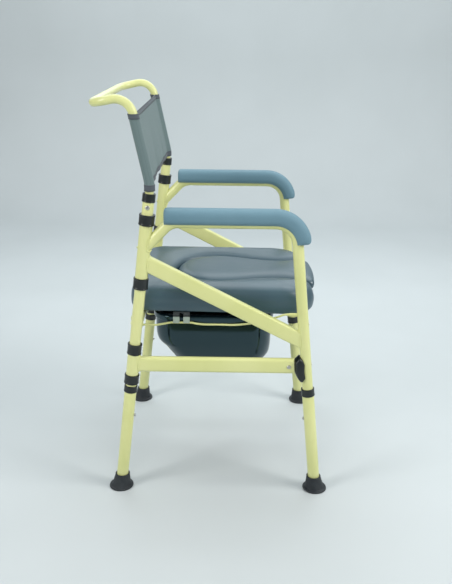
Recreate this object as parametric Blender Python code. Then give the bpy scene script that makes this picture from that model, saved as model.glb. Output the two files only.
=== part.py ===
"""A folding commode chair, in metres, +Z up, facing -Y, with its origin on the floor under its middle.

The back frame is the part that stands still. Each side frame turns on its upright. The seat unit turns on
the crossbar, and carries the pail and the middle pad. Each leg has an extension with a spring button.
"""
import math

import bmesh
import bpy
from mathutils import Vector

# Frame: the axis of each leg is a straight line in a plane of constant X
HALF_WIDTH = 0.235
REAR_FOOT_Y = 0.2269
REAR_RAKE = 0.1151
FRONT_FOOT_Y = -0.2499
FRONT_RAKE = 0.1069
TUBE_RADIUS = 0.0127
TUBE_WALL = 0.0014
FIT_GAP = 0.0003
RUN_GAP = 0.0005
ROUND_SIDES = 16
LEG_TUBE_BOTTOM = 0.080
UPRIGHT_TOP = 0.7315

# Collars on each upright: name, lowest point, highest point, radius
COLLARS = (
    ("upper_stop_ring", 0.6630, 0.6870, 0.0180),
    ("upper_bearing", 0.5160, 0.5410, 0.0175),
    ("lower_bearing", 0.3559, 0.3814, 0.0170),
    ("lower_stop_ring", 0.2812, 0.3034, 0.0175),
)
FERRULE = (0.7150, 0.7335, 0.0145)
CHAMFER = 0.0015
CAP_LIP = 0.0017
LEG_CUTTER = (0.050, 0.760)
BEND_STEP = 21
ARM_BEND_STEP = 15

# Backrest tube and handle
BACK_TUBE_RADIUS = 0.0095
BACK_TUBE_BOTTOM = 0.6750
BACK_BEND = (0.1405, 0.7500)
BACK_TOP = (0.1810, 0.9378)
HANDLE = (0.2616, 0.9205)
BACK_BEND_RADIUS = 0.080
BACK_TOP_RADIUS = 0.040
HANDLE_RADIUS = 0.045
BACK_SCREW_HEIGHT = 0.7040

# Screws: the head's radius and height, then the shank's radius and depth
BACK_SCREW = (0.0050, 0.0030, 0.0020, 0.0060)
BAR_SCREW = (0.0048, 0.0028, 0.0020, 0.0040)
SCREW_HOLE_RADIUS = 0.0024
BACK_HOLE_REACH = (0.0040, 0.0200)

# Sling, sleeved on the backrest tube
SLING_BOTTOM = 0.7400
SLING_TOP = 0.9010
SLEEVE_HEIGHTS = (SLING_BOTTOM, 0.7500, 0.7620, SLING_TOP)
SLING_CORNER_LIFT = 0.0120
SLING_DIP = 0.0072
SLING_TOP_DIP = 0.0036
SLING_SET_FORWARD = 0.0038
SLING_SLEEVE_RADIUS = 0.0115
SLING_BORE_RADIUS = 0.0101
SLING_THICKNESS = 0.0026
SLING_BOW = 0.0080
SLING_BOW_LOSS = 0.4
SLING_FOLD = 0.0016
SLING_SPANS = 16
SLING_ROWS = 6

# Side frame
ARM_HEIGHT = 0.6697
ARM_REAR_CORNER_Y = 0.0980
ARM_FRONT_BEND = 0.051
ARM_REAR_BEND = 0.045
SLANT_END = (0.1545, 0.6110)
SLEEVE_RADIUS = 0.0145
UPPER_SLEEVE = (0.5415, 0.6625)
LOWER_SLEEVE = (0.3039, 0.3554)
BRACE_REAR = (0.1613, 0.5801)
BRACE_FRONT = (-0.2075, 0.3914)
BRACE_SIZE = (0.0190, 0.0350)
BRACE_CORNER = 0.0030
BRACE_WALL = 0.0015
BAR_HEIGHT = 0.3300
BAR_SIZE = (0.0160, 0.0380)
BAR_CORNER = 0.0078
BAR_WALL = 0.0015
BAR_FRONT_Y = -0.1858
BAR_SCREW_Y = -0.1740
SADDLE_OUTLINE = (
    (-0.1970, 0.3560),
    (-0.1863, 0.3440),
    (-0.1880, 0.3145),
    (-0.1934, 0.3033),
    (-0.1977, 0.2962),
    (-0.2025, 0.2912),
    (-0.2075, 0.2905),
    (-0.2148, 0.3000),
    (-0.2128, 0.3170),
    (-0.2110, 0.3400),
    (-0.2040, 0.3520),
)
SADDLE_HALF_WIDTH = 0.0150
STUD_HEIGHT = 0.4355
STUD_RADIUS = 0.0035
STUD_INNER_X = 0.2005

# Arm pad, moulded round the top of the arm tube. Its section starts and ends below its middle.
PAD_HALF_WIDTH = 0.0232
PAD_LOW = -0.0035
PAD_HIGH = 0.0313
PAD_REAR_Y = 0.1115
PAD_FRONT_HEIGHT = 0.6270
PAD_END_ROUND = 0.0100
PAD_END_STEPS = ((0.0, 0.62), (0.35, 0.88), (1.0, 1.0))
PAD_SQUARENESS = 2.8
PAD_SECTION_START = -62
PAD_SPANS = 15
PAD_GROOVE_SPANS = 11
PAD_LAND = 0.0010

# Leg extension, its cap, foot and button
EXTENSION_RADIUS = 0.0140
EXTENSION_BORE = 0.01325
EXTENSION_BOTTOM = 0.0115
CAPS = {"rear": (0.2595, 0.2755), "front": (0.2551, 0.2734)}
CAP_RADIUS = 0.0155
BUTTON_HEIGHT = {"rear": 0.1970, "front": 0.1940}
BUTTON_HOLE_RADIUS = 0.0041
# Radius, then distance from the leg's axis
BUTTON_PROFILE = (
    (0.0034, 0.0132),
    (0.0038, 0.0136),
    (0.0038, 0.0168),
    (0.0027, 0.0179),
    (0.0010, 0.0182),
)
HOLE_RADIUS = 0.0042
HOLE_PITCH = 0.025
HOLE_COUNT = 5
HOLE_REACH = (0.006, 0.020)
# Radius, then height, up the outside and down into the socket
FOOT_PROFILE = (
    (0.0275, 0.0000),
    (0.0292, 0.0014),
    (0.0292, 0.0040),
    (0.0280, 0.0055),
    (0.0240, 0.0062),
    (0.0224, 0.0082),
    (0.0172, 0.0350),
    (0.0164, 0.0362),
    (0.0145, 0.0362),
    (0.0145, 0.0090),
)

# Crossbar and seat
CROSSBAR_HEIGHT = 0.4280
SEAT_HALF_WIDTH = 0.1830
SEAT_FRONT_Y = -0.2375
SEAT_REAR_Y = 0.1995
SEAT_CORNER = 0.0480
SEAT_BOTTOM = 0.4420
# Height, then how far the outline is drawn in at the sides, the front and the rear
SEAT_LEVELS = (
    (0.4420, 0.0030, 0.0150, 0.0060),
    (0.4460, 0.0005, 0.0060, 0.0015),
    (0.4600, 0.0000, 0.0000, 0.0000),
    (0.4780, 0.0012, 0.0040, 0.0020),
    (0.4900, 0.0050, 0.0130, 0.0070),
    (0.4975, 0.0130, 0.0270, 0.0150),
    (0.5010, 0.0270, 0.0450, 0.0290),
    (0.5025, 0.0520, 0.0720, 0.0560),
)

# Opening and middle pad: wide at the rear, a neck, then wider at the front
OPENING_WIDEST = 0.1130
OPENING_NECK = 0.0880
OPENING_NECK_Y = -0.1350
OPENING_REAR = 0.0970
OPENING_SPANS = 9
OPENING_REAR_SPANS = 8
OPENING_FRONT_SPANS = 6
OPENING_CUT_Y = -0.3000
LEDGE_HEIGHT = 0.4655
# Height, then how far the outline stands out from the opening's own line
OPENING_LEVELS = ((0.4300, -0.0080), (LEDGE_HEIGHT, -0.0080), (0.4658, -0.0070), (0.4800, -0.0060),
                  (0.4965, 0.0030), (0.5200, 0.0120))
PLUG_FRONT_Y = -0.2405
PLUG_FRONT_BULGE = 0.0060
# Height, then how far the outline is drawn in at the sides and rear, and at the front
PLUG_LEVELS = (
    (0.4662, 0.0125, 0.0120),
    (0.4700, 0.0095, 0.0030),
    (0.4800, 0.0088, 0.0000),
    (0.4875, 0.0130, 0.0020),
    (0.4945, 0.0240, 0.0090),
    (0.5000, 0.0400, 0.0200),
    (0.5040, 0.0600, 0.0400),
)

# Carrier rods under the seat
ROD_RADIUS = 0.0030
ROD_HOOK_RADIUS = 0.0160
ROD_HOOK_X = 0.1960
ROD_CLIP_X = 0.1875
ROD_PAIL_X = 0.1795
ROD_RIM_X = 0.1865
ROD_FRONT_X = 0.2035
ROD_HEIGHT = 0.4095
ROD_CLIP_HEIGHT = 0.4155
ROD_SIDES = 8
ROD_HOOK_ANGLES = (110, 80, 50, 25)
BLADE_HEIGHT = 0.4447
# Front to back, then the section's width and height as shares of the rod's
BLADE_STEPS = ((-0.1700, 1.0, 1.0), (-0.1750, 0.5, 1.8), (-0.2090, 0.5, 1.8), (-0.2130, 0.5, 1.1))
CLIP_PLACES = (0.0905, 0.0665)
CLIP_LENGTH = 0.0150
CLIP_OUT = 0.0036
CLIP_IN = 0.0110
CLIP_TOP_OUT = -0.0065
CLIP_SHOULDER = 0.4350
CLIP_WEB = 0.0030
CLIP_SLOPE = 0.0080
CLIP_CUT = 0.0200
HINGE_CLIP_X = 0.120
HINGE_CLIP_LENGTH = 0.022
HINGE_CLIP_RADIUS = 0.0175
HINGE_CLIP_ANGLES = (-40, 220)
HINGE_CLIP_SPANS = 14

# Pail
PAIL_RIM_HALF_WIDTH = 0.1830
PAIL_RIM_FRONT_Y = -0.1415
PAIL_RIM_REAR_Y = 0.1485
PAIL_RIM_BOTTOM = 0.4128
PAIL_RIM_TOP = 0.4268
PAIL_RIM_CORNER = 0.0640
PAIL_RIM_EDGE = 0.0020
PAIL_CORNER_SPANS = 4
PAIL_WALL = 0.0028
# Height, half width, front, rear and corner radius of the outside
PAIL_LEVELS = (
    (0.2700, 0.0950, -0.0920, 0.0700, 0.040),
    (0.2740, 0.1080, -0.1060, 0.0840, 0.044),
    (0.2850, 0.1230, -0.1205, 0.0990, 0.047),
    (0.3030, 0.1340, -0.1325, 0.1105, 0.048),
    (0.3260, 0.1440, -0.1360, 0.1250, 0.048),
    (0.3520, 0.1520, -0.1366, 0.1430, 0.048),
    (0.4128, 0.1640, -0.1375, 0.1455, 0.050),
)

# Colour, roughness and metallic value of each finish
FINISHES = {
    "powder_coat": ((0.69, 0.73, 0.42), 0.35, 0.0),
    "black_plastic": ((0.02, 0.025, 0.03), 0.45, 0.0),
    "soft_polyurethane": ((0.20, 0.29, 0.34), 0.55, 0.0),
    "sling_cloth": ((0.19, 0.24, 0.25), 0.85, 0.0),
    "pail_plastic": ((0.10, 0.15, 0.17), 0.25, 0.0),
    "clip_plastic": ((0.55, 0.60, 0.52), 0.5, 0.0),
    "rubber": ((0.02, 0.03, 0.035), 0.7, 0.0),
    "zinc": ((0.6, 0.6, 0.6), 0.35, 1.0),
}
SIDES = (("right", -1), ("left", 1))
BODIES = {}
MATERIALS = {}


def rear_axis(height, side):
    """The point of an upright's axis at a height."""
    return Vector((side * HALF_WIDTH, REAR_FOOT_Y - REAR_RAKE * height, height))


def front_axis(height, side):
    """The point of a front leg's axis at a height."""
    return Vector((side * HALF_WIDTH, FRONT_FOOT_Y + FRONT_RAKE * height, height))


LEG_AXES = {"rear": rear_axis, "front": front_axis}
CROSSBAR_Y = REAR_FOOT_Y - REAR_RAKE * CROSSBAR_HEIGHT

# The carrier rod's route from its hook to its blade: across, front to back, height
ROD_ROUTE = (
    (ROD_HOOK_X, CROSSBAR_Y, CROSSBAR_HEIGHT - ROD_HOOK_RADIUS),
    (ROD_HOOK_X - 0.002, CROSSBAR_Y - 0.020, CROSSBAR_HEIGHT - ROD_HOOK_RADIUS),
    (0.1920, 0.130, 0.4100),
    (ROD_CLIP_X, 0.108, ROD_CLIP_HEIGHT - 0.0003),
    (ROD_CLIP_X, 0.100, ROD_CLIP_HEIGHT),
    (ROD_CLIP_X, 0.057, ROD_CLIP_HEIGHT),
    (ROD_CLIP_X, 0.049, ROD_CLIP_HEIGHT - 0.0003),
    (ROD_RIM_X, 0.034, ROD_HEIGHT),
    (ROD_PAIL_X, 0.015, ROD_HEIGHT),
    (ROD_PAIL_X, -0.025, ROD_HEIGHT),
    (ROD_RIM_X, -0.047, ROD_HEIGHT),
    (0.1880, -0.070, 0.4130),
    (0.1950, -0.105, 0.4220),
    (ROD_FRONT_X, -0.145, 0.4385),
    (ROD_FRONT_X, -0.162, BLADE_HEIGHT),
)


def clear_scene():
    for obj in list(bpy.data.objects):
        bpy.data.objects.remove(obj)


def make_materials():
    for name, (colour, roughness, metallic) in FINISHES.items():
        finish = bpy.data.materials.new(name)
        finish.use_nodes = True
        shader = finish.node_tree.nodes["Principled BSDF"]
        shader.inputs["Base Color"].default_value = (*colour, 1.0)
        shader.inputs["Roughness"].default_value = roughness
        shader.inputs["Metallic"].default_value = metallic
        MATERIALS[name] = finish


def make_body(name, pivot, parent=None):
    """An empty on a joint's axis. The pieces of one moving body are its children."""
    empty = bpy.data.objects.new("body_" + name, None)
    bpy.context.scene.collection.objects.link(empty)
    start = Vector((0, 0, 0))
    if parent:
        empty.parent = BODIES[parent][0]
        start = BODIES[parent][1]
    empty.location = Vector(pivot) - start
    BODIES[name] = (empty, Vector(pivot))


def add_object(name, shape, finish, body):
    """Make an object from a bmesh in world coordinates and hang it on its body's empty."""
    empty, pivot = BODIES[body]
    bmesh.ops.recalc_face_normals(shape, faces=shape.faces)
    bmesh.ops.translate(shape, verts=shape.verts, vec=-pivot)
    mesh = bpy.data.meshes.new(name)
    shape.to_mesh(mesh)
    shape.free()
    mesh.materials.append(MATERIALS[finish])
    mesh.shade_smooth()
    mesh.set_sharp_from_angle(angle=math.radians(40))
    obj = bpy.data.objects.new(name, mesh)
    bpy.context.scene.collection.objects.link(obj)
    obj.parent = empty
    return obj


def combine(obj, shape, operation):
    """Join a closed bmesh, in world coordinates, to an object, or take it away."""
    bmesh.ops.recalc_face_normals(shape, faces=shape.faces)
    mesh = bpy.data.meshes.new(obj.name + "_tool")
    shape.to_mesh(mesh)
    shape.free()
    tool = bpy.data.objects.new(obj.name + "_tool", mesh)
    bpy.context.scene.collection.objects.link(tool)
    tool.hide_render = True
    tool.display_type = "WIRE"
    boolean = obj.modifiers.new(operation.lower(), "BOOLEAN")
    boolean.operation = operation
    boolean.object = tool


def cut(obj, shape):
    combine(obj, shape, "DIFFERENCE")


def loft(rings, closed=False):
    """A surface through rings of points, capped at its ends, or closed from the last ring to the first."""
    shape = bmesh.new()
    loops = [[shape.verts.new(point) for point in ring] for ring in rings]
    pairs = list(zip(loops, loops[1:]))
    if closed:
        pairs.append((loops[-1], loops[0]))
    else:
        shape.faces.new(loops[0][::-1])
        shape.faces.new(loops[-1])
    for low, high in pairs:
        count = len(low)
        for i in range(count):
            j = (i + 1) % count
            shape.faces.new((low[i], low[j], high[j], high[i]))
    return shape


def circle(radius, sides=ROUND_SIDES):
    """Points of a circle in a tube's own cross section, across then up."""
    turns = [2 * math.pi * i / sides for i in range(sides)]
    return [(radius * math.cos(t), radius * math.sin(t)) for t in turns]


def rounded_box(width, height, corner, steps=3):
    """A rectangle with round corners, as a closed cross section."""
    points = []
    for quarter, (sx, sy) in enumerate(((1, 1), (-1, 1), (-1, -1), (1, -1))):
        cx = sx * (width / 2 - corner)
        cy = sy * (height / 2 - corner)
        for step in range(steps):
            t = math.pi / 2 * (quarter + step / (steps - 1))
            points.append((cx + corner * math.cos(t), cy + corner * math.sin(t)))
    return points


def bent_path(corners, radii, step=BEND_STEP):
    """Straight runs between corners, each inner corner rounded in steps of some degrees."""
    path = [Vector(corners[0])]
    for before, corner, after, radius in zip(corners, corners[1:], corners[2:], radii):
        corner = Vector(corner)
        back = (Vector(before) - corner).normalized()
        ahead = (Vector(after) - corner).normalized()
        half = back.angle(ahead) / 2
        reach = radius / math.tan(half)
        centre = corner + (back + ahead).normalized() * radius / math.sin(half)
        start = corner + back * reach
        normal = (start - centre).normalized()
        turn = math.pi - 2 * half
        count = max(2, round(math.degrees(turn) / step))
        for i in range(count + 1):
            t = turn * i / count
            path.append(centre + radius * (normal * math.cos(t) - back * math.sin(t)))
    path.append(Vector(corners[-1]))
    return path


def smooth_path(points, per_span=4):
    """A smooth curve through points, by the Catmull-Rom rule."""
    points = [Vector(p) for p in points]
    points = [2 * points[0] - points[1]] + points + [2 * points[-1] - points[-2]]
    path = []
    for a, b, c, d in zip(points, points[1:], points[2:], points[3:]):
        for i in range(per_span):
            t = i / per_span
            path.append(0.5 * (2 * b + (c - a) * t + (2 * a - 5 * b + 4 * c - d) * t * t
                               + (3 * b - a - 3 * c + d) * t ** 3))
    path.append(points[-2])
    return path


def frames(path, across):
    """Across and up vectors at each point of a path, turned as little as possible along it."""
    result = []
    across = Vector(across)
    for i, point in enumerate(path):
        ahead = (path[min(i + 1, len(path) - 1)] - path[max(i - 1, 0)]).normalized()
        across = (across - ahead * across.dot(ahead)).normalized()
        result.append((point, across, ahead.cross(across)))
    return result


def sweep_rings(path, section, across=(1, 0, 0), scales=None):
    """Copies of a cross section along a path. On a bend the section stays square to the path."""
    rings = []
    for i, (point, side, up) in enumerate(frames(path, across)):
        wide, tall = scales[i] if scales else (1, 1)
        rings.append([point + side * u * wide + up * v * tall for u, v in section])
    return rings


def solid_sweep(path, section, across=(1, 0, 0), scales=None):
    return loft(sweep_rings(path, section, across, scales))


def hollow_sweep(path, outer, inner, across=(1, 0, 0)):
    """A tube with open ends, as one closed wall."""
    outside = sweep_rings(path, outer, across)
    inside = sweep_rings(path, inner, across)
    return loft(outside + inside[::-1], closed=True)


def turned_ring(axis, side, profile, sides=ROUND_SIDES):
    """A ring round a leg's axis. The profile is a closed line of radius and height points."""
    along = (axis(1, side) - axis(0, side)).normalized()
    across = Vector((1, 0, 0))
    up = along.cross(across)
    rings = []
    for radius, height in profile:
        centre = axis(height, side)
        rings.append([centre + across * u + up * v for u, v in circle(radius, sides)])
    return loft(rings, closed=True)


def cylinder(start, end, radius, sides=ROUND_SIDES):
    start = Vector(start)
    end = Vector(end)
    across = Vector((1, 0, 0))
    if abs((end - start).normalized().x) > 0.9:
        across = Vector((0, 1, 0))
    return solid_sweep([start, end], circle(radius, sides), across)


def extruded(outline, low_x, high_x):
    """A solid with a flat outline in Y and Z, between two values of X."""
    return loft([[Vector((x, y, z)) for y, z in outline] for x in (low_x, high_x)])


def screw(start, side, size):
    """A screw with a domed head, which points along X. Start is on the surface."""
    radius, height, shank_radius, depth = size
    profile = (
        (shank_radius, -depth),
        (shank_radius, FIT_GAP),
        (radius, FIT_GAP),
        (radius * 0.92, height * 0.6),
        (radius * 0.55, height),
    )
    rings = []
    for ring_radius, reach in profile:
        rings.append([start + Vector((side * reach, u, v)) for u, v in circle(ring_radius, 12)])
    return loft(rings)


def join_shapes(shapes):
    """Several separate solids in one bmesh."""
    whole = bmesh.new()
    for shape in shapes:
        mesh = bpy.data.meshes.new("joined")
        shape.to_mesh(mesh)
        shape.free()
        whole.from_mesh(mesh)
        bpy.data.meshes.remove(mesh)
    return whole


def leg_holes(obj, end, side):
    """The row of button holes near a leg tube's lower end, on the face toward the chair's middle."""
    axis = LEG_AXES[end]
    inward = button_direction(end, side) * -1
    along = (axis(1, side) - axis(0, side)).normalized()
    first = axis(BUTTON_HEIGHT[end], side)
    holes = []
    for i in range(HOLE_COUNT):
        centre = first - along * HOLE_PITCH * i
        start, end_point = (centre + inward * reach for reach in HOLE_REACH)
        holes.append(cylinder(start, end_point, HOLE_RADIUS, 8))
    cut(obj, join_shapes(holes))


def button_direction(end, side):
    """The way a button is pressed: square to its leg, away from the chair's middle."""
    axis = LEG_AXES[end]
    along = (axis(1, side) - axis(0, side)).normalized()
    square = Vector((1, 0, 0)).cross(along).normalized()
    outward = 1 if end == "rear" else -1
    return square * outward if square.y > 0 else square * -outward


def make_uprights():
    for name, side in SIDES:
        profile = (
            (TUBE_RADIUS, LEG_TUBE_BOTTOM),
            (TUBE_RADIUS, UPRIGHT_TOP),
            (TUBE_RADIUS - TUBE_WALL, UPRIGHT_TOP),
            (TUBE_RADIUS - TUBE_WALL, LEG_TUBE_BOTTOM),
        )
        upright = add_object("upright_" + name, turned_ring(rear_axis, side, profile), "powder_coat", "back_frame")
        leg_holes(upright, "rear", side)
        cut(upright, back_screw_hole(side))


def back_screw_hole(side):
    centre = rear_axis(BACK_SCREW_HEIGHT, side)
    start, end = (centre + Vector((side * reach, 0, 0)) for reach in BACK_HOLE_REACH)
    return cylinder(start, end, SCREW_HOLE_RADIUS, 12)


def collar_profile(low, high, radius, bore):
    return (
        (bore, low),
        (radius - CHAMFER, low),
        (radius, low + CHAMFER),
        (radius, high - CHAMFER),
        (radius - CHAMFER, high),
        (bore, high),
    )


def capped_profile(low, high, radius, bore, lip):
    """A cap on a tube's end: it surrounds the tube, and its lip lies over the end."""
    under = high - CAP_LIP
    return (
        (bore, low),
        (radius, low),
        (radius, high - CHAMFER),
        (radius - CHAMFER, high),
        (lip, high),
        (lip, under),
        (bore, under),
    )


def make_collars():
    bore = TUBE_RADIUS + FIT_GAP
    for name, side in SIDES:
        for collar, low, high, radius in COLLARS:
            shape = turned_ring(rear_axis, side, collar_profile(low, high, radius, bore))
            add_object(collar + "_" + name, shape, "black_plastic", "back_frame")
        low, high, radius = FERRULE
        lip = BACK_TUBE_RADIUS + FIT_GAP
        shape = turned_ring(rear_axis, side, capped_profile(low, high, radius, bore, lip))
        add_object("backrest_ferrule_" + name, shape, "black_plastic", "back_frame")


def back_side_points(side):
    """Corners of the backrest tube on one side, from its lower end to the handle's corner."""
    x = side * HALF_WIDTH
    return [
        rear_axis(BACK_TUBE_BOTTOM, side),
        Vector((x, *BACK_BEND)),
        Vector((x, *BACK_TOP)),
        Vector((x, *HANDLE)),
    ]


def back_path():
    corners = back_side_points(-1) + back_side_points(1)[::-1]
    bends = [BACK_BEND_RADIUS, BACK_TOP_RADIUS, HANDLE_RADIUS]
    return bent_path(corners, bends + bends[::-1])


def make_backrest():
    outer = circle(BACK_TUBE_RADIUS)
    inner = circle(BACK_TUBE_RADIUS - TUBE_WALL)
    tube = add_object("backrest_tube", hollow_sweep(back_path(), outer, inner), "powder_coat", "back_frame")
    for name, side in SIDES:
        cut(tube, back_screw_hole(side))
        start = rear_axis(BACK_SCREW_HEIGHT, side) + Vector((side * TUBE_RADIUS, 0, 0))
        add_object("backrest_screw_" + name, screw(start, side, BACK_SCREW), "zinc", "back_frame")


def post_y(height):
    """Where the backrest tube's axis is, front to back, at a height below its top bend."""
    path = back_path()
    for low, high in zip(path, path[1:]):
        if low.z <= height <= high.z:
            return low.y + (high.y - low.y) * (height - low.z) / (high.z - low.z)
    return path[0].y


def sling_point(across, level, depth):
    """A point of the sling's panel. Across runs from -1 to 1, level and depth from 0 to 1."""
    inner = HALF_WIDTH - BACK_TUBE_RADIUS
    middle = 1 - across * across
    low = SLING_BOTTOM + SLING_CORNER_LIFT * across ** 4 - SLING_DIP * middle
    high = SLING_TOP - SLING_TOP_DIP * middle
    height = low + (high - low) * level
    bow = SLING_BOW * middle * (1 - SLING_BOW_LOSS * level)
    fold = SLING_FOLD * math.cos(across * math.pi * 3) * (1 - level) * middle
    y = post_y(height) - SLING_SET_FORWARD + bow + fold + SLING_THICKNESS * depth
    return Vector((across * inner, y, height))


def make_sling():
    rows = []
    for row in range(SLING_ROWS + 1):
        level = row / SLING_ROWS
        across = [2 * i / SLING_SPANS - 1 for i in range(SLING_SPANS + 1)]
        front = [sling_point(u, level, 0) for u in across]
        rear = [sling_point(u, level, 1) for u in reversed(across)]
        rows.append(front + rear)
    sling = add_object("sling", loft(rows), "sling_cloth", "back_frame")
    for _, side in SIDES:
        path = [Vector((side * HALF_WIDTH, post_y(z), z)) for z in SLEEVE_HEIGHTS]
        combine(sling, solid_sweep(path, circle(SLING_SLEEVE_RADIUS)), "UNION")
    combine(sling, solid_sweep(back_path(), circle(SLING_BORE_RADIUS)), "DIFFERENCE")


def arm_path(side):
    x = side * HALF_WIDTH
    corners = [
        Vector((x, *SLANT_END)),
        Vector((x, ARM_REAR_CORNER_Y, ARM_HEIGHT)),
        front_axis(ARM_HEIGHT, side),
        front_axis(LEG_TUBE_BOTTOM, side),
    ]
    return bent_path(corners, [ARM_REAR_BEND, ARM_FRONT_BEND], ARM_BEND_STEP)


def leg_cutter(axis, side, radius):
    low, high = LEG_CUTTER
    return cylinder(axis(low, side), axis(high, side), radius)


def make_side_frame(name, side):
    body = "side_" + name
    outer = circle(TUBE_RADIUS)
    inner = circle(TUBE_RADIUS - TUBE_WALL)
    tube = add_object("side_tube_" + name, hollow_sweep(arm_path(side), outer, inner), "powder_coat", body)
    cut(tube, leg_cutter(rear_axis, side, SLEEVE_RADIUS + 2 * FIT_GAP))
    leg_holes(tube, "front", side)
    bore = TUBE_RADIUS + RUN_GAP
    for sleeve, (low, high) in (("upper_sleeve_", UPPER_SLEEVE), ("lower_sleeve_", LOWER_SLEEVE)):
        profile = ((bore, low), (SLEEVE_RADIUS, low), (SLEEVE_RADIUS, high), (bore, high))
        add_object(sleeve + name, turned_ring(rear_axis, side, profile), "powder_coat", body)
    make_brace(name, side, body)
    make_lower_bar(name, side, body)
    make_arm_pad(name, side, body)
    make_stud(name, side, body)


def make_brace(name, side, body):
    x = side * HALF_WIDTH
    width, height = BRACE_SIZE
    outer = rounded_box(width, height, BRACE_CORNER)
    inner = rounded_box(width - 2 * BRACE_WALL, height - 2 * BRACE_WALL, BRACE_CORNER - BRACE_WALL)
    path = [Vector((x, *BRACE_REAR)), Vector((x, *BRACE_FRONT))]
    brace = add_object("diagonal_brace_" + name, hollow_sweep(path, outer, inner), "powder_coat", body)
    cut(brace, leg_cutter(rear_axis, side, SLEEVE_RADIUS + 2 * FIT_GAP))
    cut(brace, leg_cutter(front_axis, side, TUBE_RADIUS + 2 * FIT_GAP))


def make_lower_bar(name, side, body):
    x = side * HALF_WIDTH
    width, height = BAR_SIZE
    outer = rounded_box(width, height, BAR_CORNER, 5)
    inner = rounded_box(width - 2 * BAR_WALL, height - 2 * BAR_WALL, BAR_CORNER - BAR_WALL, 5)
    path = [rear_axis(BAR_HEIGHT, side), Vector((x, BAR_FRONT_Y, BAR_HEIGHT))]
    bar = add_object("lower_bar_" + name, hollow_sweep(path, outer, inner), "powder_coat", body)
    cut(bar, leg_cutter(rear_axis, side, SLEEVE_RADIUS + 2 * FIT_GAP))
    screw_place = Vector((x + side * width / 2, BAR_SCREW_Y, BAR_HEIGHT))
    through = Vector((side * BAR_SCREW[3], 0, 0))
    cut(bar, cylinder(screw_place - through, screw_place + through, SCREW_HOLE_RADIUS, 12))
    saddle_shape = extruded(SADDLE_OUTLINE, x - SADDLE_HALF_WIDTH, x + SADDLE_HALF_WIDTH)
    saddle = add_object("leg_saddle_" + name, saddle_shape, "black_plastic", body)
    cut(saddle, leg_cutter(front_axis, side, TUBE_RADIUS + FIT_GAP))
    add_object("bar_screw_" + name, screw(screw_place, side, BAR_SCREW), "zinc", body)


def make_stud(name, side, body):
    """The pin on the inner face of the front leg that the end of the seat's carrier rod rests on."""
    axis = front_axis(STUD_HEIGHT, side)
    ends = [Vector((side * x, axis.y, axis.z)) for x in (HALF_WIDTH - TUBE_RADIUS - FIT_GAP, STUD_INNER_X)]
    add_object("seat_stud_" + name, cylinder(*ends, STUD_RADIUS, 12), "zinc", body)


def pad_ring(place, scale):
    """A section of the pad: over its top from one low edge to the other, and back round the tube's groove."""
    point, across, up = place
    if up.z < up.y:
        up = -up
    groove = TUBE_RADIUS + 2 * FIT_GAP
    middle = (PAD_LOW + PAD_HIGH) / 2
    half = (PAD_HIGH - PAD_LOW) / 2
    power = 2 / PAD_SQUARENESS
    start = math.radians(PAD_SECTION_START)
    section = []
    for i in range(PAD_SPANS + 1):
        t = start + (math.pi - 2 * start) * i / PAD_SPANS
        u = PAD_HALF_WIDTH * scale * math.copysign(abs(math.cos(t)) ** power, math.cos(t))
        v = middle + half * scale * math.copysign(abs(math.sin(t)) ** power, math.sin(t))
        stretch = max(1, (groove + PAD_LAND) / math.hypot(u, v))
        section.append((u * stretch, v * stretch))
    edge = math.atan2(section[0][1], section[0][0])
    for i in range(PAD_GROOVE_SPANS + 1):
        t = math.pi - edge - (math.pi - 2 * edge) * i / PAD_GROOVE_SPANS
        section.append((groove * math.cos(t), groove * math.sin(t)))
    return [point + across * u + up * v for u, v in section]


def make_arm_pad(name, side, body):
    x = side * HALF_WIDTH
    corners = [Vector((x, PAD_REAR_Y, ARM_HEIGHT)), front_axis(ARM_HEIGHT, side), front_axis(PAD_FRONT_HEIGHT, side)]
    bend = bent_path(corners, [ARM_FRONT_BEND], ARM_BEND_STEP)
    first = (bend[1] - bend[0]).normalized()
    last = (bend[-1] - bend[-2]).normalized()
    path = [bend[0] + first * PAD_END_ROUND * step for step, _ in PAD_END_STEPS] + bend[1:-1]
    path += [bend[-1] - last * PAD_END_ROUND * step for step, _ in reversed(PAD_END_STEPS)]
    ends = [scale for _, scale in PAD_END_STEPS]
    scales = ends + [1.0] * len(bend[1:-1]) + ends[::-1]
    rings = [pad_ring(place, scale) for place, scale in zip(frames(path, (1, 0, 0)), scales)]
    add_object("arm_pad_" + name, loft(rings), "soft_polyurethane", body)


def rounded_outline(half_width, front, rear, corner, steps=6):
    """A rectangle in plan with round corners."""
    points = []
    corners = ((1, rear - corner), (-1, rear - corner), (-1, front + corner), (1, front + corner))
    for quarter, (sign, cy) in enumerate(corners):
        cx = sign * (half_width - corner)
        for step in range(steps + 1):
            t = math.pi / 2 * (quarter + step / steps)
            points.append((cx + corner * math.cos(t), cy + corner * math.sin(t)))
    return points


def opening_half_width(y, widest, neck):
    """Half the opening's width at a place front to back, ahead of its widest line."""
    wave = 0.5 * (1 + math.cos(math.pi * y / OPENING_NECK_Y))
    return neck + (widest - neck) * wave


def opening_outline(extra, front, bulge=0.0):
    """The opening's line in plan, drawn out by extra: a round rear end and waisted sides."""
    widest = OPENING_WIDEST + extra
    neck = OPENING_NECK + extra
    rear = OPENING_REAR + extra
    half = []
    for i in range(OPENING_SPANS + 1):
        y = front * (1 - i / OPENING_SPANS)
        half.append((opening_half_width(y, widest, neck), y))
    for i in range(1, OPENING_REAR_SPANS):
        t = math.pi / 2 * i / OPENING_REAR_SPANS
        half.append((widest * math.cos(t), rear * math.sin(t)))
    width = half[0][0]
    line = half + [(0.0, rear)] + [(-x, y) for x, y in reversed(half)]
    for i in range(1, OPENING_FRONT_SPANS):
        x = width * (2 * i / OPENING_FRONT_SPANS - 1)
        line.append((x, front - bulge * (1 - (x / width) ** 2)))
    return line


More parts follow.
